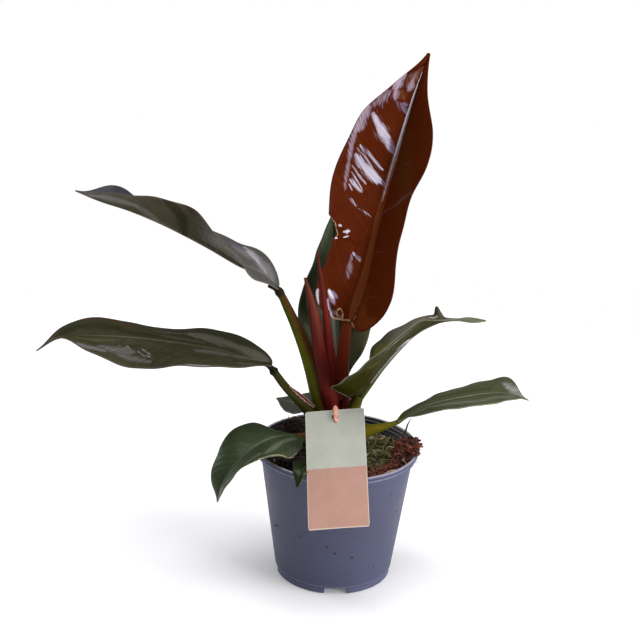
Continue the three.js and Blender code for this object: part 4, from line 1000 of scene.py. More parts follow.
# Each leaf: its rib, half-widths and folds as in the solids; its relief; and its look.
plainLeaf = {  # what a leaf has unless its own lines say otherwise
    "roll": 0, "lobes": (0, 0), "slot": "greenLeaf", "gloss": 0.42, "shine": 0.05, "coat": 0.0,
    "rightDeep": 0.0, "arch": (0.8, 0.8), "sweep": 0.18, "veinShow": 0.4, "ribTurn": (0.15, 0.55),
    "ribRise": -0.5, "paintedSheen": colour(160, 160, 164), "glossAndSheen": [], "tints": [], "dents": [],
}
leaves = {
    "tall": {
        "rib": [[6, 12, 191], [15.4, 18, 221], [22, 24, 254], [30.1, 28, 291], [37, 30, 321],
            [43.7, 30, 349], [53, 24, 383]],
        "heading": 90, "roll": -12, "ridge": 2.6, "lobes": (8, 15), "round": 0.1,
        "nick": ([0.24, 0.26, 0.285, 0.305, 0.345, 0.37], [0, 1.6, 2.6, 6.2, 4.4, 0]),
        "left": [34, 35, 33, 40, 44, 41, 35, 18.5, 1.2],
        "right": [22, 31, 26.5, 24.5, 24.5, 30.5, 24.5, 9, 1], "foldLeft": [12, 12],
        "foldRight": [58, 60, 60, 60, 60, 60, 55, 50, 40], "arch": (0.3, 0.5), "veins": 10, "sweep": 0.2,
        "quilt": 0.22, "ripple": 0.3, "rows": 372, "columns": 125, "slot": "redLeaf",
        "upper": colour(84, 30, 2), "deep": colour(72, 24, 2), "under": colour(96, 40, 20),
        # The rib turns from brown to silver-lilac towards the tip: partly the rib's pale tone, partly painted
        # highlight.
        "vein": colour(120, 56, 28), "ribColour": colour(176, 158, 158), "ribBase": colour(126, 66, 34),
        "margin": colour(84, 34, 24), "ribWidth": 0.125, "ribTurn": (0.46, 0.74), "veinShow": 0.16,
        "gloss": 0.5, "shine": 0.02, "rightDeep": 1.0, "ribRise": 0.45, "paintedSheen": colour(160, 160, 206),
        "rightTone": colour(92, 36, 10),
        # Strokes where the blade is glossiest, which the low softbox lights into streaks; a painted sheen
        # tone is mixed in along them too.
        "glossAndSheen": [(0.749, -0.77, 0.702, -0.49, 2.9, 1), (0.719, -0.58, 0.662, -0.25, 4.0, 1),
            (0.686, -0.37, 0.629, -0.09, 2.5, 1), (0.669, -0.21, 0.639, -0.07, 1.5, 0.9),
            (0.592, -0.73, 0.552, -0.51, 3.2, 1), (0.569, -0.6, 0.518, -0.21, 3.6, 1),
            (0.545, -0.39, 0.508, -0.07, 2.3, 0.9), (0.632, -0.73, 0.595, -0.43, 1.6, 0.8),
            (0.612, -0.56, 0.562, -0.18, 1.3, 0.8), (0.619, -0.77, 0.565, -0.39, 1.2, 0.65),
            (0.555, -0.73, 0.502, -0.41, 1.2, 0.7), (0.532, -0.71, 0.478, -0.45, 1.2, 0.65),
            (0.505, -0.69, 0.472, -0.45, 1.9, 0.75), (0.438, -0.62, 0.418, -0.49, 1.5, 0.6),
            (0.411, -0.47, 0.388, -0.14, 0.8, 0.45), (0.803, -0.29, 0.803, -0.12, 1.7, 0.9),
            (0.796, -0.23, 0.773, -0.07, 1.9, 1), (0.819, -0.53, 0.776, -0.18, 1.1, 0.7),
            (0.846, -0.95, 0.819, -0.64, 1.1, 0.55), (0.833, -1, 0.796, -0.62, 1.1, 0.55),
            (0.816, -1, 0.776, -0.64, 1.1, 0.55), (0.796, -1, 0.759, -0.71, 1.1, 0.6),
            (0.251, -0.43, 0.241, -0.35, 1, 1.2), (0.241, -0.35, 0.227, -0.23, 1.3, 1.2),
            (0.087, -0.69, 0.074, -0.51, 2.4, 0.9), (0.06, -0.71, 0.02, -0.73, 1.5, 1)],
        "tints": [
            # Painted highlight: lilac-white streaks between the side veins of the left half, along the margin
            # near the tip and at the curled base.
            (colour(196, 180, 198), 0, [(0.893, -0.98, 0.86, -0.8, 4.2, 0.7),
             (0.86, -0.8, 0.823, -0.53, 2.8, 0.55), (0.91, -0.95, 0.89, -0.93, 2.6, 0.6),
             (0.89, -0.35, 0.86, -0.29, 3.2, 0.5), (0.923, -0.45, 0.896, -0.41, 3.2, 0.35),
             (0.839, -0.86, 0.786, -0.91, 4, 0.4), (0.769, -0.98, 0.722, -0.95, 4.8, 0.6),
             (0.726, -0.95, 0.682, -0.93, 4, 0.6), (0.736, -0.89, 0.692, -0.84, 2.8, 0.45),
             (0.679, -0.95, 0.615, -0.89, 2.5, 0.5), (0.622, -0.89, 0.572, -0.82, 2, 0.55),
             (0.572, -0.82, 0.502, -0.77, 1.8, 0.45), (0.502, -0.77, 0.465, -0.75, 1.3, 0.4),
             (0.251, -0.45, 0.211, -0.45, 1.4, 0.4), (0.211, -0.45, 0.157, -0.39, 2.6, 0.42),
             (0.084, -0.66, 0.057, -0.58, 3, 0.6), (0.027, -0.64, 0.01, -0.49, 2.6, 0.35)]),
            # Painted highlight: a bright line along the rib, with painted glints at the tear in the left
            # margin and at the base.
            (colour(214, 206, 212), 0, [(0.93, -0.03, 0.8, -0.035, 0.6, 1.4),
             (0.8, -0.035, 0.62, -0.035, 0.7, 1.2), (0.62, -0.035, 0.45, -0.04, 0.7, 0.7),
             (0.88, 0.05, 0.74, 0.05, 0.5, 0.6), (0.74, 0.05, 0.6, 0.05, 0.5, 0.5),
             (0.318, -0.82, 0.324, -0.66, 0.8, 1.5), (0.338, -0.91, 0.338, -0.86, 0.8, 1.4),
             (0.294, -0.98, 0.291, -0.93, 0.6, 1.3), (0.3, -0.8, 0.306, -0.7, 0.6, 1.3),
             (0.312, -0.74, 0.33, -0.7, 0.5, 1.2), (0.49, -0.7, 0.47, -0.62, 0.6, 0.8),
             (0.062, -0.73, 0.024, -0.76, 0.8, 1.4), (0.024, -0.76, 0.008, -0.94, 0.7, 1.3),
             (0.086, -0.96, 0.049, -0.98, 1.2, 1.2), (0.092, -0.71, 0.07, -0.59, 1.5, 0.9)]),
            (colour(190, 156, 118), 0, [(0.01, -1, 0.003, -0.58, 0.7, 1.3),
             (0.02, -0.35, 0.003, -0.58, 0.6, 1.2), (0.003, -0.5, 0.003, 0.1, 0.8, 1.2),
             (0.003, 0.3, 0.003, 0.95, 0.7, 0.8), (0.36, -1, 0.3, -0.98, 0.6, 1),
             (0.013, -0.64, 0.032, -0.54, 0.45, 1.1), (0.032, -0.54, 0.04, -0.4, 0.4, 1.1),
             (0.04, -0.4, 0.024, -0.34, 0.4, 1.1), (0.024, -0.34, 0.008, -0.5, 0.4, 1.1),
             (0.011, 0.29, 0.032, 0.21, 0.4, 1)]),
            (colour(118, 78, 56), 0, [(0.905, -0.7, 0.88, -0.45, 3, 0.5),
             (0.845, -0.5, 0.825, -0.3, 3.4, 0.5), (0.12, 0.05, 0.02, 0.05, 3.4, 0.4),
             (0.95, -0.3, 0.9, -0.2, 3, 0.4)]),
            (colour(88, 52, 24), 0, [(0.64, 0.3, 0.5, 0.75, 9, 0.6), (0.72, 0.12, 0.55, 0.35, 6, 0.5),
             (0.46, 0.6, 0.4, 0.95, 3, 0.4)]),
            (colour(120, 92, 92), 0, [(0.41, 0.1, 0.45, 0.5, 0.7, 0.5), (0.45, 0.5, 0.52, 0.95, 1.6, 0.45),
             (0.56, 0.08, 0.62, 0.5, 0.5, 0.4), (0.26, 0.1, 0.28, 0.5, 0.6, 0.35),
             (0.1, 0.2, 0.13, 0.6, 0.6, 0.3)]),
            (colour(118, 62, 28), 0, [(0.07, 0.3, 0.02, 0.6, 5, 0.7), (0.02, 0.6, 0.06, 0.9, 4, 0.7),
             (0.14, 0.2, 0.08, 0.3, 3, 0.4)]),
            # Painted shade: dark lines in the crease near the tip, along both edges of the rib, at the tear
            # and near the left margin.
            (colour(30, 10, 8), 0, [(0.96, -0.02, 0.943, -0.6, 0.6, 0.9), (0.943, -0.6, 0.926, -1, 0.6, 0.9),
             (0.926, -1, 0.893, -0.71, 0.6, 0.9), (0.893, -0.71, 0.856, -0.43, 0.6, 0.8),
             (0.783, -0.95, 0.709, -0.75, 0.6, 0.45), (0.666, -0.84, 0.585, -0.8, 0.5, 0.5),
             (0.585, -0.8, 0.522, -0.73, 0.5, 0.5), (0.334, -1, 0.314, -0.91, 0.8, 0.7),
             (0.251, -0.47, 0.227, -0.35, 0.6, 0.7), (0.93, -0.09, 0.62, -0.075, 0.5, 0.8),
             (0.94, 0.16, 0.66, 0.1, 0.6, 0.7), (0.96, 0.2, 0.99, 0, 1, 0.5)]),
        ],
        "dents": [(0.865, -0.43, 0.9, -0.65, 0.6, -0.5), (0.9, -0.65, 0.93, -0.8, 0.6, -0.5),
            (0.93, -0.8, 0.965, 0.1, 0.7, -0.6), (0.34, -0.9, 0.3, -0.6, 0.9, 0.7),
            (0.292, -0.9, 0.285, -0.5, 0.8, -0.6), (0.3, -0.36, 0.262, -0.42, 0.8, -0.5),
            (0.262, -0.4, 0.23, -0.2, 0.9, 0.5), (0.1, -0.9, 0.01, -0.4, 1.6, 0.9)],
    },
    "upperLeft": {
        "rib": [[-46, 0, 219], [-56, 0, 228.3], [-73, 0, 235.6], [-97, 0, 248.9], [-125, 0, 262.5],
            [-149, 0, 271.9], [-170, 0, 278], [-187, 0, 284.5]],
        "heading": 180, "ridge": 1.6, "lobes": (3, 3), "round": 0.05,
        "left": [10.5, 24.6, 29.4, 30, 28.5, 25.5, 20.4, 12.6, 0.9],
        "right": [7.5, 24.6, 29.4, 30, 28.5, 25.5, 20.6, 13.2, 0.9],
        "foldLeft": [10, 3, 26, 33, 56, 54, 47, 43, 10], "foldRight": [14, 18, 8, 5, 12, 5, 12, 45, 5],
        "veins": 18, "sweep": 0.16, "quilt": 0.35, "ripple": 0.5, "rows": 190, "columns": 57,
        "upper": colour(82, 80, 78), "deep": colour(66, 66, 60), "under": colour(70, 65, 46),
        "vein": colour(92, 88, 74), "ribColour": colour(96, 92, 78), "ribBase": colour(92, 90, 74),
        "margin": colour(100, 92, 78), "ribWidth": 0.05, "gloss": 0.36, "shine": 0.1, "coat": 0.04,
        "tints": [
            (colour(118, 116, 110), 1, [(0.942, -1, 0.725, -0.34, 3.5, 0.8),
             (0.725, -0.34, 0.608, 0, 2.8, 0.6), (0.693, 0, 0.524, 0, 2.4, 0.4)]),
            (colour(60, 58, 42), 1, [(0.72, -0.92, 0.603, -0.76, 4.2, 0.6),
             (0.841, -1, 0.751, -0.92, 0.9, 0.7), (0.751, -0.92, 0.656, -0.27, 1, 0.8)]),
            (colour(48, 36, 14), 1, [(0.619, -1, 0.503, -0.38, 4, 1.1), (0.54, -1, 0.487, -0.88, 3, 0.8)]),
            (colour(42, 42, 14), 1, [(0.566, -0.76, 0.481, -0.02, 3.6, 0.9)]),
            (colour(72, 70, 40), 1, [(0.492, -0.45, 0.434, -0.38, 3.2, 0.6)]),
            (colour(84, 78, 66), 1, [(0.413, -0.49, 0.238, -0.68, 5.6, 0.6)]),
            (colour(96, 50, 40), 1, [(0.513, -1, 0.455, -0.9, 1.1, 0.8), (0.217, -0.6, 0.175, -1, 1, 0.9)]),
            # Painted sheen: grey over the flap near the base, with a painted highlight along its rim.
            (colour(114, 112, 112), 0, [(0.249, 0.68, 0.132, 0.53, 6.5, 0.8),
             (0.132, 0.45, 0.048, 0.14, 6.5, 0.8)]),
            (colour(168, 165, 170), 0, [(0.206, 0.84, 0.127, 0.38, 2.6, 0.7),
             (0.127, 0.38, 0.085, 0.14, 1.8, 0.5)]),
            (colour(80, 76, 90), 0, [(0.29, 0.72, 0.2, 0.72, 3, 0.8)]),
            (colour(64, 62, 60), 0, [(0.153, 0.92, 0.122, 0.84, 0.7, 0.7),
             (0.217, 1, 0.18, 0.76, 0.7, 0.6)]),
            (colour(58, 53, 64), 0, [(0.931, 0.9, 0.73, 1, 5, 1)]),
        ],
    },
    "middleLeft": {
        "rib": [[-49, -2, 161], [-65, -3, 166], [-93, -4, 173], [-122, -4, 177], [-150, -4, 179.5],
            [-176, -4, 179.5], [-200, -4, 177.5], [-217, -4, 167]],
        "heading": 180, "ridge": 1.6, "lobes": (3, 3), "round": 0.05,
        "left": [10.8, 25.4, 30.4, 31, 29.4, 26.4, 21.1, 13, 0.9],
        "right": [9.5, 25.4, 30.4, 31, 29.4, 26.4, 21.1, 13.6, 0.9],
        "foldLeft": [19, 4, -2, -10, -23, -27.5, -9, 18, 0],
        "foldRight": [13, 11, 6, 1, -3.5, 3.5, 20, 16, 5], "arch": (0.9, 0.9), "veins": 18, "sweep": 0.16,
        "quilt": 0.4, "ripple": 0.5, "rows": 190, "columns": 57, "upper": colour(66, 66, 46),
        "deep": colour(48, 48, 30), "under": colour(72, 70, 48), "vein": colour(84, 84, 62),
        "ribColour": colour(98, 100, 78), "ribBase": colour(84, 84, 64), "margin": colour(92, 84, 70),
        # rightDeep: the far (right) half is painted darker, as painted shade where it tilts away from the
        # lights.
        "ribWidth": 0.032, "rightDeep": 0.6,
        # Strokes where the near half is glossier, for glints; a painted sheen tone is mixed in along them
        # too.
        "glossAndSheen": [(0.603, -0.34, 0.577, -0.49, 0.8, 0.8), (0.635, -0.38, 0.598, -0.45, 0.8, 0.6),
            (0.55, -0.49, 0.519, -0.64, 0.7, 1), (0.534, -0.41, 0.497, -0.56, 0.7, 0.9),
            (0.513, -0.6, 0.487, -0.68, 0.7, 0.8), (0.693, -0.6, 0.64, -0.6, 0.8, 0.5)],
        "tints": [
            (colour(40, 40, 16), 0, [(0.905, 0.2, 0.804, 0.49, 4.2, 0.8),
             (0.804, 0.49, 0.646, 0.41, 4.9, 0.85), (0.64, 0.27, 0.476, 0.2, 3.2, 0.7)]),
            (colour(82, 46, 32), 0, [(0.804, 0.88, 0.688, 0.96, 1.7, 0.7),
             (0.688, 0.92, 0.593, 0.56, 1.7, 0.7), (0.593, 0.56, 0.513, 0.34, 1.1, 0.6),
             (0.942, 0.68, 0.884, 0.27, 1.4, 0.5)]),
            (colour(84, 88, 60), 0, [(0.804, -0.49, 0.661, -0.2, 1.7, 0.7)]),
            (colour(46, 48, 32), 0, [(0.757, -0.6, 0.524, -0.27, 1.7, 0.6),
             (0.333, -0.53, 0.243, -0.56, 1.8, 0.6), (0.46, -0.49, 0.349, -0.72, 2.4, 0.5)]),
            # Painted sheen: grey streaks over the near half and a grey band at its base.
            (colour(136, 134, 136), 0, [(0.794, -0.92, 0.688, -0.72, 2.1, 0.6),
             (0.709, -0.6, 0.571, -0.53, 3.5, 0.45), (0.63, -0.68, 0.492, -0.8, 2.5, 0.45)]),
            (colour(112, 110, 102), 0, [(0.317, -0.31, 0.159, -0.24, 3.5, 0.6),
             (0.159, -0.24, 0.026, 0.05, 3.5, 0.7), (0.153, -0.72, 0.053, -1, 1.1, 0.6)]),
            (colour(190, 184, 196), 0, [(0.354, -0.98, 0.243, -0.98, 0.8, 0.7)]),
            (colour(136, 130, 118), 0, [(0.513, 0.56, 0.376, 0.53, 0.8, 0.6),
             (0.376, 0.53, 0.217, 0.17, 0.8, 0.7)]),
            (colour(86, 74, 62), 0, [(0.476, 0.27, 0.291, 0.17, 2.1, 0.7)]),
            (colour(100, 98, 84), 0, [(0.354, 0.53, 0.159, 0.34, 5.6, 0.9),
             (0.159, 0.34, 0.032, 0.38, 5.6, 0.9)]),
        ],
    },
    "lowerLeft": {
        "rib": [[-26, -8, 109], [-38, -16, 113], [-54, -26, 111], [-69, -36, 102], [-80, -42, 88],
            [-84, -44, 72]],
        "heading": 205, "ridge": 1.4, "lobes": (0, 2),
        "left": [5, 18, 23.5, 24, 22.8, 20.4, 16.3, 10.1, 0.7],
        "right": [0.6, 4, 19, 24, 22.8, 20.4, 16.3, 10.1, 0.7],
        "foldLeft": [-10, -12, -17, -6, 7, 16, 16, 16, 15], "foldRight": [-8, -9, 6, 16, 24, 21, 19, 21, 15],
        "veins": 14, "quilt": 0.35, "ripple": 0.4, "rows": 150, "columns": 53, "upper": colour(62, 74, 48),
        "deep": colour(46, 56, 34), "under": colour(66, 74, 46), "vein": colour(82, 92, 66),
        "ribColour": colour(104, 112, 84), "ribBase": colour(96, 104, 70), "margin": colour(84, 90, 62),
        "ribWidth": 0.05, "gloss": 0.32, "shine": 0.12, "coat": 0.03,
        "tints": [
            (colour(108, 112, 96), 0, [(0.456, -0.74, 0.255, -0.33, 2.5, 0.75),
             (0.255, -0.33, 0.107, -0.37, 2.1, 0.75), (0.611, -0.87, 0.477, -0.66, 1.7, 0.6)]),
            (colour(84, 84, 58), 0, [(0.396, -1, 0.141, -0.96, 3.5, 0.5)]),
            (colour(66, 44, 30), 0, [(0.879, 0.41, 0.96, -0.6, 2.4, 0.7)]),
            (colour(186, 182, 150), 0, [(0.53, -1, 0.262, -1, 0.5, 1), (0.262, -1, 0.188, -1, 0.5, 0.9)]),
        ],
    },
    "backLeft": {
        "rib": [[-19, 12, 126], [-28, 22, 122], [-37, 32, 119], [-46, 40, 118]], "heading": 150, "ridge": 1,
        "left": [8, 11.5, 11, 7, 1], "right": [6, 13, 15, 10.5, 1.2], "foldLeft": [-24, -18, -14],
        "foldRight": [24, 12, 8], "arch": (0.4, 0.4), "veins": 9, "sweep": 0.2, "quilt": 0.2, "ripple": 0.25,
        "rows": 90, "columns": 37, "upper": colour(76, 78, 70), "deep": colour(58, 60, 50),
        "under": colour(80, 80, 66), "vein": colour(94, 96, 84), "ribColour": colour(118, 124, 104),
        "ribBase": colour(106, 112, 84), "margin": colour(104, 104, 90), "ribWidth": 0.06, "gloss": 0.35,
        "shine": 0.2, "coat": 0.04,
    },
    "upright": {
        "rib": [[-2, 14, 150], [-3, 26, 168], [-5, 38, 190], [-7, 48, 214], [-8, 55, 239], [-8, 57, 260]],
        "heading": 90, "ridge": 1.6, "lobes": (2, 2),
        "left": [6.2, 22.3, 29.5, 31, 29.5, 25.4, 18.6, 9.3, 0.9],
        "right": [9, 20, 26, 28.5, 28.5, 25, 18.6, 9.3, 0.9],
        "foldLeft": [25, 36, 32, 29, 38, 47, 50, 45, 25], "foldRight": [15, 15], "arch": (0.9, 0.9),
        "veins": 15, "quilt": 0.35, "ripple": 0.4, "rows": 150, "columns": 53, "upper": colour(54, 60, 38),
        "deep": colour(40, 46, 28), "under": colour(62, 66, 46), "vein": colour(68, 74, 52),
        "ribColour": colour(96, 102, 84), "ribBase": colour(108, 114, 98), "margin": colour(70, 74, 52),
        "ribWidth": 0.12, "gloss": 0.32, "shine": 0.12, "coat": 0.03,
        "tints": [
            # Painted light: the right part of the blade near its base is painted lighter where it lies in
            # shade.
            (colour(86, 86, 60), 0, [(0.09, 0.75, 0.24, 0.8, 10, 1)]),
            (colour(98, 102, 92), 0, [(0.295, -0.83, 0.161, -0.78, 2.8, 0.6)]),
            (colour(62, 72, 42), 0, [(0.926, -0.66, 0.732, -0.91, 3.2, 0.6),
             (0.732, -1, 0.456, -0.91, 2.8, 0.5)]),
        ],
    },
    "foldedRight": {
        "rib": [[13.5, -10, 138], [20.5, -12, 151], [32.5, -15, 171], [49.5, -17, 192.2], [63, -18, 201.6],
            [73.5, -18, 205], [86, -18, 205.4], [100, -18, 205.6]],
        "heading": 0, "ridge": 1.5, "lobes": (2, 0),
        "left": [22, 27, 29, 30, 29.5, 28, 26, 22, 14, 4, 1.5, 5, 1],
        "right": [22.5, 24.5, 26, 27, 26, 24, 20.5, 15.5, 11, 6, 2.5, 6, 1],
        "foldLeft": [0, 0, 8, 16, 13, 12, 6, 6, 10, 30, 30, 4, 5],
        "foldRight": [88, 63, 53, 41, 38, 35, 34, 37, 48, 24, 9, 5, 0], "horn": (0.736, 0.016, 6, 60),
        "arch": (0.6, 0.6), "veins": 15, "quilt": 0.3, "ripple": 0.3, "rows": 200, "columns": 53,
        "upper": colour(114, 112, 94), "deep": colour(98, 98, 76), "under": colour(50, 50, 26),
        "vein": colour(84, 86, 58), "ribColour": colour(112, 112, 96), "ribBase": colour(70, 74, 36),
        "margin": colour(122, 120, 100), "ribWidth": 0.06, "gloss": 0.4,
        "tints": [
            (colour(40, 38, 0), 1, [(0.02, 0.6, 0.1, 0.6, 9, 1.3), (0.06, 0.9, 0.141, 0.45, 6, 1.3),
             (0.1, 0.4, 0.2, 0.4, 8, 1.2), (0.2, 0.5, 0.3, 0.5, 7, 0.9)]),
            (colour(92, 92, 28), 1, [(0.271, 0.57, 0.327, 0.37, 2.4, 0.5)]),
            (colour(56, 58, 36), 1, [(0.367, 0.53, 0.533, 0.66, 3.5, 0.8),
             (0.518, 0.49, 0.734, 0.96, 3.5, 0.7), (0.26, 0.2, 0.5, 0.22, 1.6, 0.8)]),
            (colour(140, 138, 126), 1, [(0.407, 0.78, 0.558, 0.7, 0.7, 1),
             (0.558, 0.7, 0.688, 1, 0.7, 0.9)]),
            # Painted highlight along the rib on the underside, over the rib's pale band.
            (colour(150, 146, 145), 1, [(0.16, 0.05, 0.327, 0.06, 0.5, 0.8),
             (0.327, 0.06, 0.442, 0.06, 0.5, 1), (0.442, 0.06, 0.558, 0.02, 0.5, 1),
             (0.558, 0, 0.724, 0, 0.5, 0.8)]),
            (colour(190, 186, 184), 1, [(0.425, 0.13, 0.48, 0.1, 0.6, 1.2),
             (0.48, 0.1, 0.53, 0.04, 0.6, 1.1)]),
            # Painted shade: a dark line under the folded edge and beside the rib.
            (colour(34, 34, 18), 1, [(0.28, 0.86, 0.45, 0.86, 1.2, 0.9), (0.45, 0.86, 0.68, 0.8, 1.2, 0.9),
             (0.3, 0.16, 0.6, 0.14, 0.9, 0.8)]),
            (colour(170, 168, 150), 1, [(0, 0.1, 0, 0.98, 0.5, 1.1)]),
            # Painted sheen: grey over the upper face of the far half.
            (colour(140, 137, 124), 0, [(0.25, -0.6, 0.62, -0.5, 10, 0.6)]),
            (colour(66, 64, 52), 0, [(0.69, -0.9, 0.76, -0.5, 5, 0.9)]),
            (colour(128, 130, 62), 0, [(0.2, -0.7, 0.36, -0.6, 5, 1)]),
            (colour(206, 202, 182), 0, [(0.678, -0.7, 0.729, -0.33, 0.7, 1.2)]),
            (colour(36, 36, 28), 0, [(0.72, -1, 0.75, -1, 0.9, 1)]),
        ],
    },
    "lowRight": {
        "rib": [[43, 10, 114.6], [53, 14, 120.3], [68, 20, 125.3], [88, 26, 128.5], [113, 34, 129.8],
            [131, 38, 128], [143, 40, 123]],
        "heading": 20, "ridge": 1.4, "left": [1.5, 10.5, 15.5, 20, 21, 19.7, 17, 14.4, 0.8],
        "right": [2.5, 12.6, 17.9, 21, 21, 20, 16.8, 8.4, 0.8],
        "foldLeft": [5, -13, -14, -10, -6, 0, 14, 36, 0], "foldRight": [30, 12, 8, 7, 4, 1, 1, -6, 0],
        "arch": (0.6, 0.6), "veins": 14, "quilt": 0.3, "ripple": 0.3, "rows": 150, "columns": 53,
        "upper": colour(72, 75, 52), "deep": colour(60, 63, 40), "under": colour(84, 86, 64),
        "vein": colour(94, 98, 76), "ribColour": colour(132, 134, 118), "ribBase": colour(110, 112, 76),
        "margin": colour(124, 126, 108), "ribWidth": 0.05,
        "tints": [
            # Painted sheen: grey along the near half and at the tip.
            (colour(112, 113, 102), 0, [(0.054, 0.8, 0.262, 0.4, 2.1, 0.55),
             (0.262, 0.5, 0.55, 0.68, 3.4, 0.6), (0.55, 0.68, 0.839, 0.74, 3, 0.55),
             (0.86, -0.3, 0.97, 0.3, 4, 0.5)]),
            (colour(54, 56, 32), 0, [(0.081, -0.37, 0.336, -0.53, 2.4, 0.6),
             (0.336, -0.53, 0.738, -0.3, 3.4, 0.6)]),
            (colour(124, 128, 106), 0, [(0.268, -0.7, 0.631, -0.87, 0.8, 0.5),
             (0.631, -0.87, 0.765, -0.96, 0.8, 0.5)]),
            (colour(48, 50, 32), 0, [(0.08, 0.3, 0.262, 0.15, 0.6, 0.7),
             (0.262, 0.15, 0.497, 0.08, 0.6, 0.7), (0.497, 0.08, 0.812, 0.08, 0.6, 0.6),
             (0.88, 0.2, 0.95, 0.6, 1.6, 0.6)]),
            # Painted sheen at the tip, with painted glints on its wrinkles.
            (colour(138, 136, 136), 0, [(0.84, -0.5, 0.93, 0.2, 5, 0.55)]),
            (colour(170, 168, 164), 0, [(0.812, -0.61, 0.846, -0.37, 0.6, 0.45),
             (0.826, -0.33, 0.886, -0.26, 0.7, 0.45), (0.826, 0.37, 0.879, 0.66, 0.8, 0.5),
             (0.9, -0.6, 0.95, -0.1, 0.8, 0.5)]),
        ],
    },
    "tiny": {
        "rib": [[-15, -20, 99.5], [-20, -33, 99.5], [-24, -49, 102], [-25.8, -55, 101],
            [-27.6, -60.4, 93.5]],
        "heading": 235, "ridge": 0.8, "left": [2.5, 6, 6, 5, 0.9], "right": [2.7, 7.4, 8.6, 6, 0.9],
        "foldLeft": [5, 5], "foldRight": [8, 8], "arch": (0.3, 0.3), "veins": 9, "sweep": 0.2, "quilt": 0.2,
        "ripple": 0.2, "rows": 90, "columns": 33, "upper": colour(40, 50, 22), "deep": colour(30, 38, 14),
        "under": colour(58, 68, 42), "vein": colour(58, 68, 38), "ribColour": colour(84, 100, 68),
        "ribBase": colour(84, 96, 58), "margin": colour(62, 72, 46), "ribWidth": 0.08, "gloss": 0.3,
        "shine": 0.2, "coat": 0.05,
    },
}
bladeThickness = {"rib": 0.9, "edge": 0.6, "lobeReach": 0.16, "ribHalf": 1.5}


# Strokes over a leaf, each from (s, v) to (s, v) with a half-width in millimetres and a strength: how
# far each point of the grid is from the stroke's line, as a share of its half-width, and the strength.
def strokesOn(leaf, strokes):
    s = np.linspace(0, 1, leaf["rows"])
    spread = np.linspace(-1, 1, leaf["columns"])
    length = np.linalg.norm(np.diff(smoothCourse(leaf["rib"], 60), axis=0), axis=1).sum()

    def flat(s, v):  # a place on the blade laid out flat, in millimetres
        half = np.where(v > 0, readAlong(leaf["right"], s), readAlong(leaf["left"], s))
        return np.stack(np.broadcast_arrays(s * length, v * half), -1)

    grid = flat(np.repeat(s[:, None], leaf["columns"], 1), (np.sign(spread) * np.abs(spread) ** 1.15)[None])
    for s0, v0, s1, v1, half, strength in strokes:
        start, end = flat(np.array([s0, s1]), np.array([v0, v1]))
        run = end - start
        along = np.clip((grid - start) @ run / (run @ run), 0, 1)
        away = np.linalg.norm(grid - start - along[..., None] * run, axis=-1)
        yield away / (half * (1 - 0.4 * (2 * along - 1) ** 2)), strength


def strokeMark(leaf, strokes):  # the strength on a stroke's line, falling off as a flat-topped bell
    mark = np.zeros((leaf["rows"], leaf["columns"]))
    for away, strength in strokesOn(leaf, strokes):
        mark = np.maximum(mark, strength * np.exp(-0.7 * away**3))
    return mark


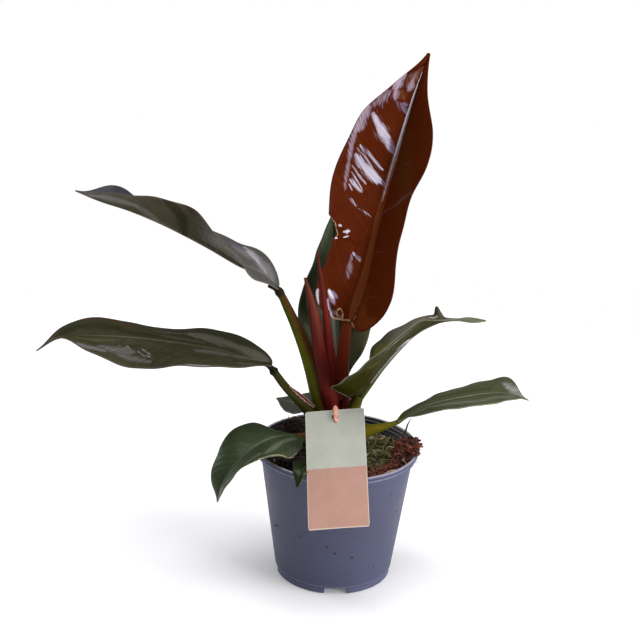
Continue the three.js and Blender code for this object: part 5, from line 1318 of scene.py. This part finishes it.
# Points of a leaf at shares s along it and v across it, -1 at the left margin and 1 at the right:
# rib(s) + sign(v) w cos(fold) side + w sin(fold) up - lobe, where w = |v| times the half-width. The
# relief stands on this along the normal: an arch over each half, quilting that swells between side
# veins, a groove or a rise over the rib, dents and a ripple that grows towards the margins.
def leafFaces(leaf):
    rows, columns = leaf["rows"], leaf["columns"]
    s = np.linspace(0, 1, rows)
    spread = np.linspace(-1, 1, columns)
    v = np.sign(spread) * np.abs(spread) ** 1.15
    rib = smoothCourse(leaf["rib"], rows)
    tangent = unit(np.gradient(rib, axis=0))
    heading, roll = math.radians(leaf["heading"]), math.radians(leaf["roll"])
    side = np.array([math.sin(heading), -math.cos(heading), 0])
    side = unit(side - (tangent @ side)[:, None] * tangent)
    side = side * math.cos(roll) + np.cross(side, tangent) * math.sin(roll)
    up = np.cross(side, tangent)
    left, right = (readAlong(leaf[key], s)[:, None] for key in ("left", "right"))
    share, sign, onRight = np.abs(v)[None], np.sign(v)[None], (v > 0)[None]
    foldLeft, foldRight = (readAlong(leaf[key], s)[:, None] for key in ("foldLeft", "foldRight"))
    grow = np.ones((rows, 1))
    if "round" in leaf:  # the base widens from the stalk as a quarter circle does
        grow = np.maximum(0.15, np.sqrt(1 - np.maximum(0, 1 - s / leaf["round"]) ** 2))[:, None]
        left, right = left * grow, right * grow
    if "nick" in leaf:  # a torn place in the left margin
        left = left - np.interp(s, *leaf["nick"])[:, None]
    if "horn" in leaf:  # a corner of the left margin that stands up
        at, half, reach, stand = leaf["horn"]
        near = np.exp(-(((s - at) / half) ** 2))[:, None]
        left, foldLeft = left + reach * near, foldLeft + (stand - foldLeft) * near
    width = np.where(onRight, right, left) * share
    fold = np.radians(np.where(onRight, foldRight, foldLeft))
    back = np.maximum(0, 1 - s / bladeThickness["lobeReach"])[:, None] ** 2
    lobe = np.where(onRight, leaf["lobes"][1], leaf["lobes"][0]) * back * grow * share**2
    sheet = rib[:, None] + (sign * width * np.cos(fold))[..., None] * side[:, None]
    sheet = sheet + (width * np.sin(fold))[..., None] * up[:, None] - lobe[..., None] * tangent[:, None]
    normal = unit(np.cross(np.gradient(sheet, axis=1), np.gradient(sheet, axis=0)))

    fade = np.minimum(1, 6 * s * (1 - s))[:, None]
    wander = 0.3 * np.sin(9 * s + 1.3 * leaf["veins"])[:, None] + 0.5 * (v > 0)
    phase = (s[:, None] - leaf["sweep"] * share**1.35) * leaf["veins"] + wander
    swell = np.abs(np.sin(np.pi * phase)) ** 0.8 * np.sqrt(share) * (1 - share**3)
    arch = np.where(onRight, leaf["arch"][1], leaf["arch"][0]) * 4 * share * (1 - share)
    groove = leaf["ribRise"] * np.exp(-((width / 1.1) ** 2)) * (1 - s[:, None])
    waves = np.sin(s[:, None] * 23 + sign * 1.4) + 0.5 * np.sin(s[:, None] * 41 + sign)
    relief = (arch + leaf["quilt"] * swell + leaf["ripple"] * waves * share**3) * fade + groove
    relief = relief + sum(depth * np.exp(-(away**2)) for away, depth in strokesOn(leaf, leaf["dents"]))
    plain = bladeThickness["rib"] + (bladeThickness["edge"] - bladeThickness["rib"]) * share
    ridge = leaf["ridge"] * (1 - s[:, None]) ** 0.8 * np.exp(-((width / bladeThickness["ribHalf"]) ** 2))
    upper = sheet + normal * (relief + plain / 2)[..., None]
    lower = sheet + normal * (relief - plain / 2 - ridge)[..., None]
    uv = np.stack(np.broadcast_arrays(s[:, None], (v[None] + 1) / 2), -1)
    return upper, lower, uv, phase


def makeLeaf(name, leaf):
    upper, lower, uv, phase = leafFaces(leaf)
    rows, columns = leaf["rows"], leaf["columns"]
    count = rows * columns
    index = np.arange(count).reshape(rows, columns)
    loop = np.r_[index[0], index[1:, -1], index[-1, -2::-1], index[-2:0:-1, 0]]
    follow = np.roll(loop, -1)
    rim = np.stack([loop, follow, follow + count, loop + count], -1)[:, ::-1]
    faces = [gridQuads(rows, columns), gridQuads(rows, columns, count, flip=True), rim]
    marks = {"under": np.r_[np.zeros(count), np.ones(count)], "phase": np.tile(phase.ravel(), 2)}
    tints = leaf["tints"]
    for key, side, strokes in [("glossAndSheen", 0, leaf["glossAndSheen"])] + [
            ("tint" + str(at), side, strokes) for at, (tone, side, strokes) in enumerate(tints)]:
        mark = strokeMark(leaf, strokes).ravel()
        marks[key] = np.r_[0 * mark, mark] if side else np.r_[mark, 0 * mark]
    points = np.vstack([upper.reshape(-1, 3), lower.reshape(-1, 3)])
    addPiece(name + "Leaf", points, faces, leafMaterial(name, leaf), [name + "Blade"],
             uv=np.vstack([uv.reshape(-1, 2)] * 2), marks=marks)


# Threads along the lines between the side veins, 0 to 1, that break up whatever lies over a blade.
def bladeThreads(tree, phase, across):
    lines = addNode(tree, "ShaderNodeCombineXYZ", {0: maths(tree, "MULTIPLY", phase, 15.0),
                                                   1: maths(tree, "MULTIPLY", across, 2.2)}).outputs[0]
    return rescale(tree, noise(tree, lines, 1.0, 4.0, 0.7), 0.36, 0.64)


def strokesShown(tree, name, threads, gain, bite):  # gain x mark - bite x threads, held between 0 and 1
    mark = attribute(tree, name)
    left = maths(tree, "MULTIPLY_ADD", mark, gain, maths(tree, "MULTIPLY", threads, -bite))
    return addNode(tree, "ShaderNodeClamp", {0: left}).outputs[0]


# Leaf skin: a deep and a lighter tone in blotches, side veins, fine parallel lines, rib and margin,
# and the duller underside, with tints in strokes, some of them painted highlights, sheen and shade. It
# is glossy, the fine lines raise it a little, and a painted sheen tone lies where it is glossiest.
def leafMaterial(name, leaf):
    material, tree, shader = startMaterial(name + "Skin")
    place = objectPlace(tree)
    uvMap = addNode(tree, "ShaderNodeUVMap", uv_map="UVMap").outputs[0]
    phase = attribute(tree, "phase")
    veins = useGroup(tree, veinGroup, {"Map": uvMap, "Phase": phase, "Rib Width": leaf["ribWidth"],
                                       "Seed": float(len(name))})
    under = attribute(tree, "under")
    mottled = useGroup(tree, mottleGroup, {"Place": place, "Scale": 26.0})["Mask"]
    base = mixColours(tree, mottled, leaf["deep"], leaf["upper"])
    # The right half takes its own tone; on the middle-left leaf this is painted shade on the far half.
    if leaf["rightDeep"]:
        rightHalf = rescale(tree, veins["Across"], 0.0, 0.06, 0.0, leaf["rightDeep"])
        base = mixColours(tree, rightHalf, base, leaf.get("rightTone", leaf["deep"]))
    base = mixColours(tree, rescale(tree, veins["Fine"], 0.5, 0.8, 0.0, 0.3), base, leaf["vein"])
    base = mixColours(tree, maths(tree, "MULTIPLY", veins["Veins"], leaf["veinShow"]), base, leaf["vein"])
    below = mixColours(tree, maths(tree, "MULTIPLY", veins["Veins"], 0.15), leaf["under"], leaf["vein"])
    base = mixColours(tree, under, base, below)
    turnsAt = leaf["ribTurn"]
    ribTone = mixColours(tree, rescale(tree, veins["Along"], *turnsAt), leaf["ribBase"], leaf["ribColour"])
    base = mixColours(tree, maths(tree, "MULTIPLY", veins["Rib"], 0.85), base, ribTone)
    base = mixColours(tree, maths(tree, "MULTIPLY", veins["Margin"], 0.8), base, leaf["margin"])
    grain = rescale(tree, noise(tree, place, 1500.0, 3.0), 0.35, 0.65, 0.75, 1.1)
    threads = bladeThreads(tree, phase, veins["Across"])
    # Tints in strokes: the blade's own tones, and on some leaves painted highlights, painted sheen and
    # painted shade, as each leaf's list says.
    for at, (tone, side, strokes) in enumerate(leaf["tints"]):
        share = strokesShown(tree, "tint" + str(at), threads, 1.3, 0.5)
        base = mixColours(tree, maths(tree, "MULTIPLY", share, grain), base, tone)
    # Painted sheen: where the strokes make the blade glossiest, a pale sheen tone is mixed into its colour.
    shine = strokesShown(tree, "glossAndSheen", threads, 1.6, 1.1)
    paintedSheen = leaf["paintedSheen"]  # painted sheen: a pale tone laid where the blade is glossiest
    base = mixColours(tree, maths(tree, "MULTIPLY", shine, 0.3), base, paintedSheen)
    rough = rescale(tree, mottled, 0, 1, leaf["gloss"] + 0.08, leaf["gloss"] - 0.03)
    rough = maths(tree, "MULTIPLY_ADD", under, 0.12, rough)
    height = maths(tree, "MULTIPLY_ADD", veins["Fine"], 0.8, noise(tree, place, 700.0, 2.0))
    setSurface(tree, shader, base, rough, height, 0.00022, 0.55, Coat_Roughness=0.12,
               Specular_IOR_Level=leaf["shine"])
    coat = maths(tree, "MULTIPLY", maths(tree, "SUBTRACT", 1.0, under), leaf["coat"])
    shine = maths(tree, "MULTIPLY", shine, 0.5)
    tree.links.new(maths(tree, "MAXIMUM", shine, coat), shader.inputs["Coat Weight"])
    shader.inputs["Coat IOR"].default_value = 1.7
    return material


for leafName, leafLook in leaves.items():
    makeLeaf(leafName, plainLeaf | leafLook)
print("leaves made")

scrap = {"course": [[-17.4, -5, 131], [-23.4, -5.4, 136.4], [-29.6, -5.4, 141.6], [-36, -4.6, 146.6]],
         "half": [0.7, 1.2, 1.35, 1, 0.3], "curl": 75, "rows": 60, "columns": 15, "thickness": 0.25}


# The dry scrap of sheath: a ribbon along its course, curled across, with a ragged edge.
def makeScrap(material):
    rows, columns = scrap["rows"], scrap["columns"]
    s, v = np.linspace(0, 1, rows)[:, None], np.linspace(-1, 1, columns)[None]
    spine = smoothCourse(scrap["course"], rows)
    tangent = unit(np.gradient(spine, axis=0))
    side = unit(np.cross(tangent, [0, 1, 0]))
    out = np.cross(side, tangent)
    angle = math.radians(scrap["curl"]) * v
    width = readAlong(scrap["half"], s[:, 0])[:, None] * (1 + 0.12 * np.sin(s * 40) * np.abs(v))
    across, lift = width * np.sin(angle), width * (np.cos(angle) - 1) + 0.2 * np.sin(s * 22 + v)
    sheet = spine[:, None] + across[..., None] * side[:, None] + lift[..., None] * out[:, None]
    normal = unit(np.cross(np.gradient(sheet, axis=1), np.gradient(sheet, axis=0)))
    half = scrap["thickness"] / 2
    count = rows * columns
    index = np.arange(count).reshape(rows, columns)
    loop = np.r_[index[0], index[1:, -1], index[-1, -2::-1], index[-2:0:-1, 0]]
    rim = np.stack([loop, np.roll(loop, -1), np.roll(loop, -1) + count, loop + count], -1)[:, ::-1]
    points = np.vstack([(sheet + normal * half).reshape(-1, 3), (sheet - normal * half).reshape(-1, 3)])
    faces = [gridQuads(rows, columns), gridQuads(rows, columns, count, flip=True), rim]
    edge = np.tile(np.broadcast_to(np.abs(v), (rows, columns)).ravel(), 2)
    addPiece("sheathPaper", points, faces, material, ["sheathScrap"], marks={"edge": edge})


def sheathMaterial():
    material, tree, shader = startMaterial("drySheath")
    place = objectPlace(tree)
    lines = noise(tree, stretched(tree, place, (900.0, 900.0, 120.0)), 1.0, 4.0, 0.6)
    base = mixColours(tree, rescale(tree, lines, 0.35, 0.7), colour(96, 30, 28), colour(132, 60, 50))
    edge = attribute(tree, "edge")
    pale = maths(tree, "MULTIPLY", rescale(tree, edge, 0.66, 0.86), rescale(tree, lines, 0.3, 0.6, 0.3, 1.0))
    base = mixColours(tree, pale, base, colour(222, 186, 172))
    setSurface(tree, shader, base, 0.6, lines, 0.0003, 0.7)
    return material


makeScrap(sheathMaterial())

# Card and cord.

card = {"width": 42, "height": 90, "thickness": 0.8, "corner": 1.2, "hole": 2.2, "holeDrop": 5.5,
        "centre": (-0.5, -54.6, 106.4), "lean": 49.4, "turn": -11.5, "slant": -12, "split": 0.503,
        "rings": 26, "columns": 200}


def cardAxes():  # the card's own x across it, y out of its back, z up it
    lean, turn, slant = (math.radians(card[key]) for key in ("lean", "turn", "slant"))
    spin = Matrix.Rotation(turn, 3, "Z") @ Matrix.Rotation(-lean, 3, "X") @ Matrix.Rotation(slant, 3, "Y")
    return np.array(spin)


def onCard(points):
    return np.asarray(points, float) @ cardAxes().T + np.array(card["centre"])


# The card: rays run from the hole's rim to the rounded outline, so the hole needs no cutting. The
# front and the back are the same grid, half a thickness either side, and strips close both edges.
def makeCard(material):
    half = np.array([card["width"] / 2, card["height"] / 2])
    hole = np.array([0, half[1] - card["holeDrop"]])
    corners = np.arctan2(np.array([1, 1, -1, -1]) * half[1] - hole[1], np.array([1, -1, -1, 1]) * half[0])
    turn = np.sort(np.r_[np.linspace(-np.pi, np.pi, card["columns"], endpoint=False), corners,
                         corners - 0.012, corners + 0.012])
    ray = np.stack([np.cos(turn), np.sin(turn)], -1)
    reach = np.minimum(half[0] / np.maximum(np.abs(ray[:, 0]), 1e-9),
                       np.where(ray[:, 1] > 0, half[1] - hole[1], half[1] + hole[1]) /
                       np.maximum(np.abs(ray[:, 1]), 1e-9))
    edge = hole + ray * reach[:, None]
    inner = half - card["corner"]
    beyond = np.maximum(np.abs(edge) - inner, 0)
    over = np.linalg.norm(beyond, axis=1, keepdims=True)
    rounded = np.sign(edge) * (np.minimum(np.abs(edge), inner) + beyond * np.minimum(
        1, card["corner"] / np.maximum(over, 1e-9)))
    u = np.linspace(0, 1, card["rings"])[:, None, None]
    flat = (hole + ray * card["hole"]) * (1 - u) + rounded * u
    bow = 0.35 * (flat[..., 0] / half[0]) ** 2 - 0.5 * (flat[..., 1] / half[1]) ** 2
    sides = [onCard(np.stack([flat[..., 0], bow + y, flat[..., 1]], -1)).reshape(-1, 3)
             for y in (-card["thickness"] / 2, card["thickness"] / 2)]
    rings, columns = flat.shape[:2]
    count = rings * columns
    rim = np.stack([np.arange(columns), np.roll(np.arange(columns), -1)], -1)
    outer = rim + count - columns
    faces = [gridQuads(rings, columns, closed=True, flip=True), gridQuads(rings, columns, count, True),
             np.concatenate([rim[:, ::-1], rim + count], 1),
             np.concatenate([outer, outer[:, ::-1] + count], 1)]
    uv = flat / (2 * half) + 0.5
    addPiece("cardSheet", np.vstack(sides), faces, material, ["card"],
             uv=np.vstack([uv.reshape(-1, 2)] * 2), sharp=40)


# Printed card: two plain fields with a straight split, bare edges, paper fibres and faint wear.
def cardMaterial():
    material, tree, shader = startMaterial("cardPrint")
    place = objectPlace(tree)
    uvMap = addNode(tree, "ShaderNodeUVMap", uv_map="UVMap").outputs[0]
    parts = addNode(tree, "ShaderNodeSeparateXYZ", {0: uvMap}).outputs
    mottled = useGroup(tree, mottleGroup, {"Place": place, "Scale": 70.0})["Mask"]
    upper = mixColours(tree, mottled, colour(167, 169, 156), colour(176, 178, 165))
    lower = mixColours(tree, mottled, colour(170, 128, 111), colour(178, 136, 119))
    split = rescale(tree, parts[1], card["split"] - 0.0015, card["split"] + 0.0015)
    base = mixColours(tree, split, lower, upper)
    awayX = maths(tree, "ABSOLUTE", maths(tree, "SUBTRACT", parts[0], 0.5))
    awayY = maths(tree, "ABSOLUTE", maths(tree, "SUBTRACT", parts[1], 0.5))
    edgeX, edgeY = rescale(tree, awayX, 0.486, 0.494), rescale(tree, awayY, 0.493, 0.497)
    base = mixColours(tree, maths(tree, "MULTIPLY", maths(tree, "MAXIMUM", edgeX, edgeY), 0.6), base,
                      colour(214, 206, 190))
    fibres = noise(tree, place, 1500.0, 3.0, 0.6)
    setSurface(tree, shader, base, 0.62, fibres, 0.00012, 0.6)
    return material


makeCard(cardMaterial())

cord = {"radius": 1.2, "knot": 2.3, "loop": 6.4, "steps": 420, "sides": 20,
        "front": [[1.5, 1.1, -2.6], [0.9, -0.5, -3.3], [-0.1, -1.1, -2.9], [0.5, -1.2, -0.6], [1.1, -1, 2],
                  [0.8, -0.7, 4.4], [0.6, 0.6, 7], [1, 3, 7.4], [1.6, 4.6, 5]]}


# Its route, as the solids have it: through the hole, over the top edge, round the stalk and back.
def cordRoute():
    holeZ, topZ = card["height"] / 2 - card["holeDrop"], card["height"] / 2
    off = card["thickness"] / 2 + cord["radius"] + 0.3
    stalk = smoothCourse(stalks["foldedRightStalk"]["course"], 101)[52]
    before = onCard([[0, off + 1.4, holeZ - 0.4], [0, 0, holeZ - 0.4], [0, -off - 0.1, holeZ + 0.9],
                     [0.2, -off - 0.3, topZ - 1.4], [0.4, -off + 0.1, topZ + 1.2], [0.7, 0, topZ + off + 0.5],
                     [1.4, off + 1.6, topZ + 1]])
    around = np.radians([215, 160, 105, 50, -5, -60])
    lift = np.array([1.4, 1.6, 1.4, 0.8, 0, -1])
    loop = stalk + np.stack([cord["loop"] * np.cos(around), cord["loop"] * np.sin(around), lift], -1)
    after = onCard([[3.4, off + 3.4, holeZ - 1.6], [0.6, off + 1.6, holeZ - 0.6]])
    return np.vstack([before, loop, after])


def plyShape(turn, t):  # two plies that wind round each other
    return 0.92 + 0.13 * np.cos(2 * turn - 90 * t)


def makeCord(material):
    points, faces, uv = carried(cordRoute(), [cord["radius"]] * 2, cord["sides"], cord["steps"], plyShape,
                                reference=(0.35, 0.2, 1))
    addPiece("cordPly", points, faces, material, ["cardCord"], uv=uv)
    holeZ = card["height"] / 2 - card["holeDrop"]
    doubled = onCard(np.array(cord["front"]) + [0.3, -card["thickness"] / 2 - 0.5, holeZ])
    points, faces, uv = carried(doubled, [cord["radius"] * 0.95] * 2, cord["sides"], 120, plyShape,
                                reference=(0.35, 0.2, 1))
    addPiece("cordFront", points, faces, material, uv=uv)
    rings, columns = 30, 40
    tilt = np.linspace(0.02, np.pi - 0.02, rings)[:, None]
    turn = np.linspace(0, 2 * np.pi, columns, endpoint=False)
    lumps = cord["knot"] * (0.93 + 0.09 * np.cos(3 * turn + 5 * tilt))
    seat = onCard([[0, card["thickness"] / 2 + 0.3 + cord["knot"], card["height"] / 2 - card["holeDrop"]]])
    ball = np.stack([lumps * np.sin(tilt) * np.cos(turn), lumps * np.sin(tilt) * np.sin(turn),
                     lumps * np.cos(tilt)], -1)
    count = rings * columns
    poles = np.array([[0, 0, 0.97], [0, 0, -0.97]]) * cord["knot"]
    points = np.vstack([ball.reshape(-1, 3), poles]) + seat
    faces = [gridQuads(rings, columns, closed=True, flip=True), fan(np.arange(columns), count),
             fan(np.arange(columns) + count - columns, count + 1, True)]
    addPiece("cordKnot", points, faces, material)


def cordMaterial():
    material, tree, shader = startMaterial("cordFibre")
    place = objectPlace(tree)
    threads = noise(tree, stretched(tree, place, (1.0, 1.0, 1.4)), 1500.0, 3.0, 0.6)
    base = mixColours(tree, rescale(tree, threads, 0.35, 0.7), colour(196, 128, 102), colour(236, 184, 158))
    setSurface(tree, shader, base, 0.7, threads, 0.0003, 0.9)
    return material


makeCord(cordMaterial())
print("card and cord made")
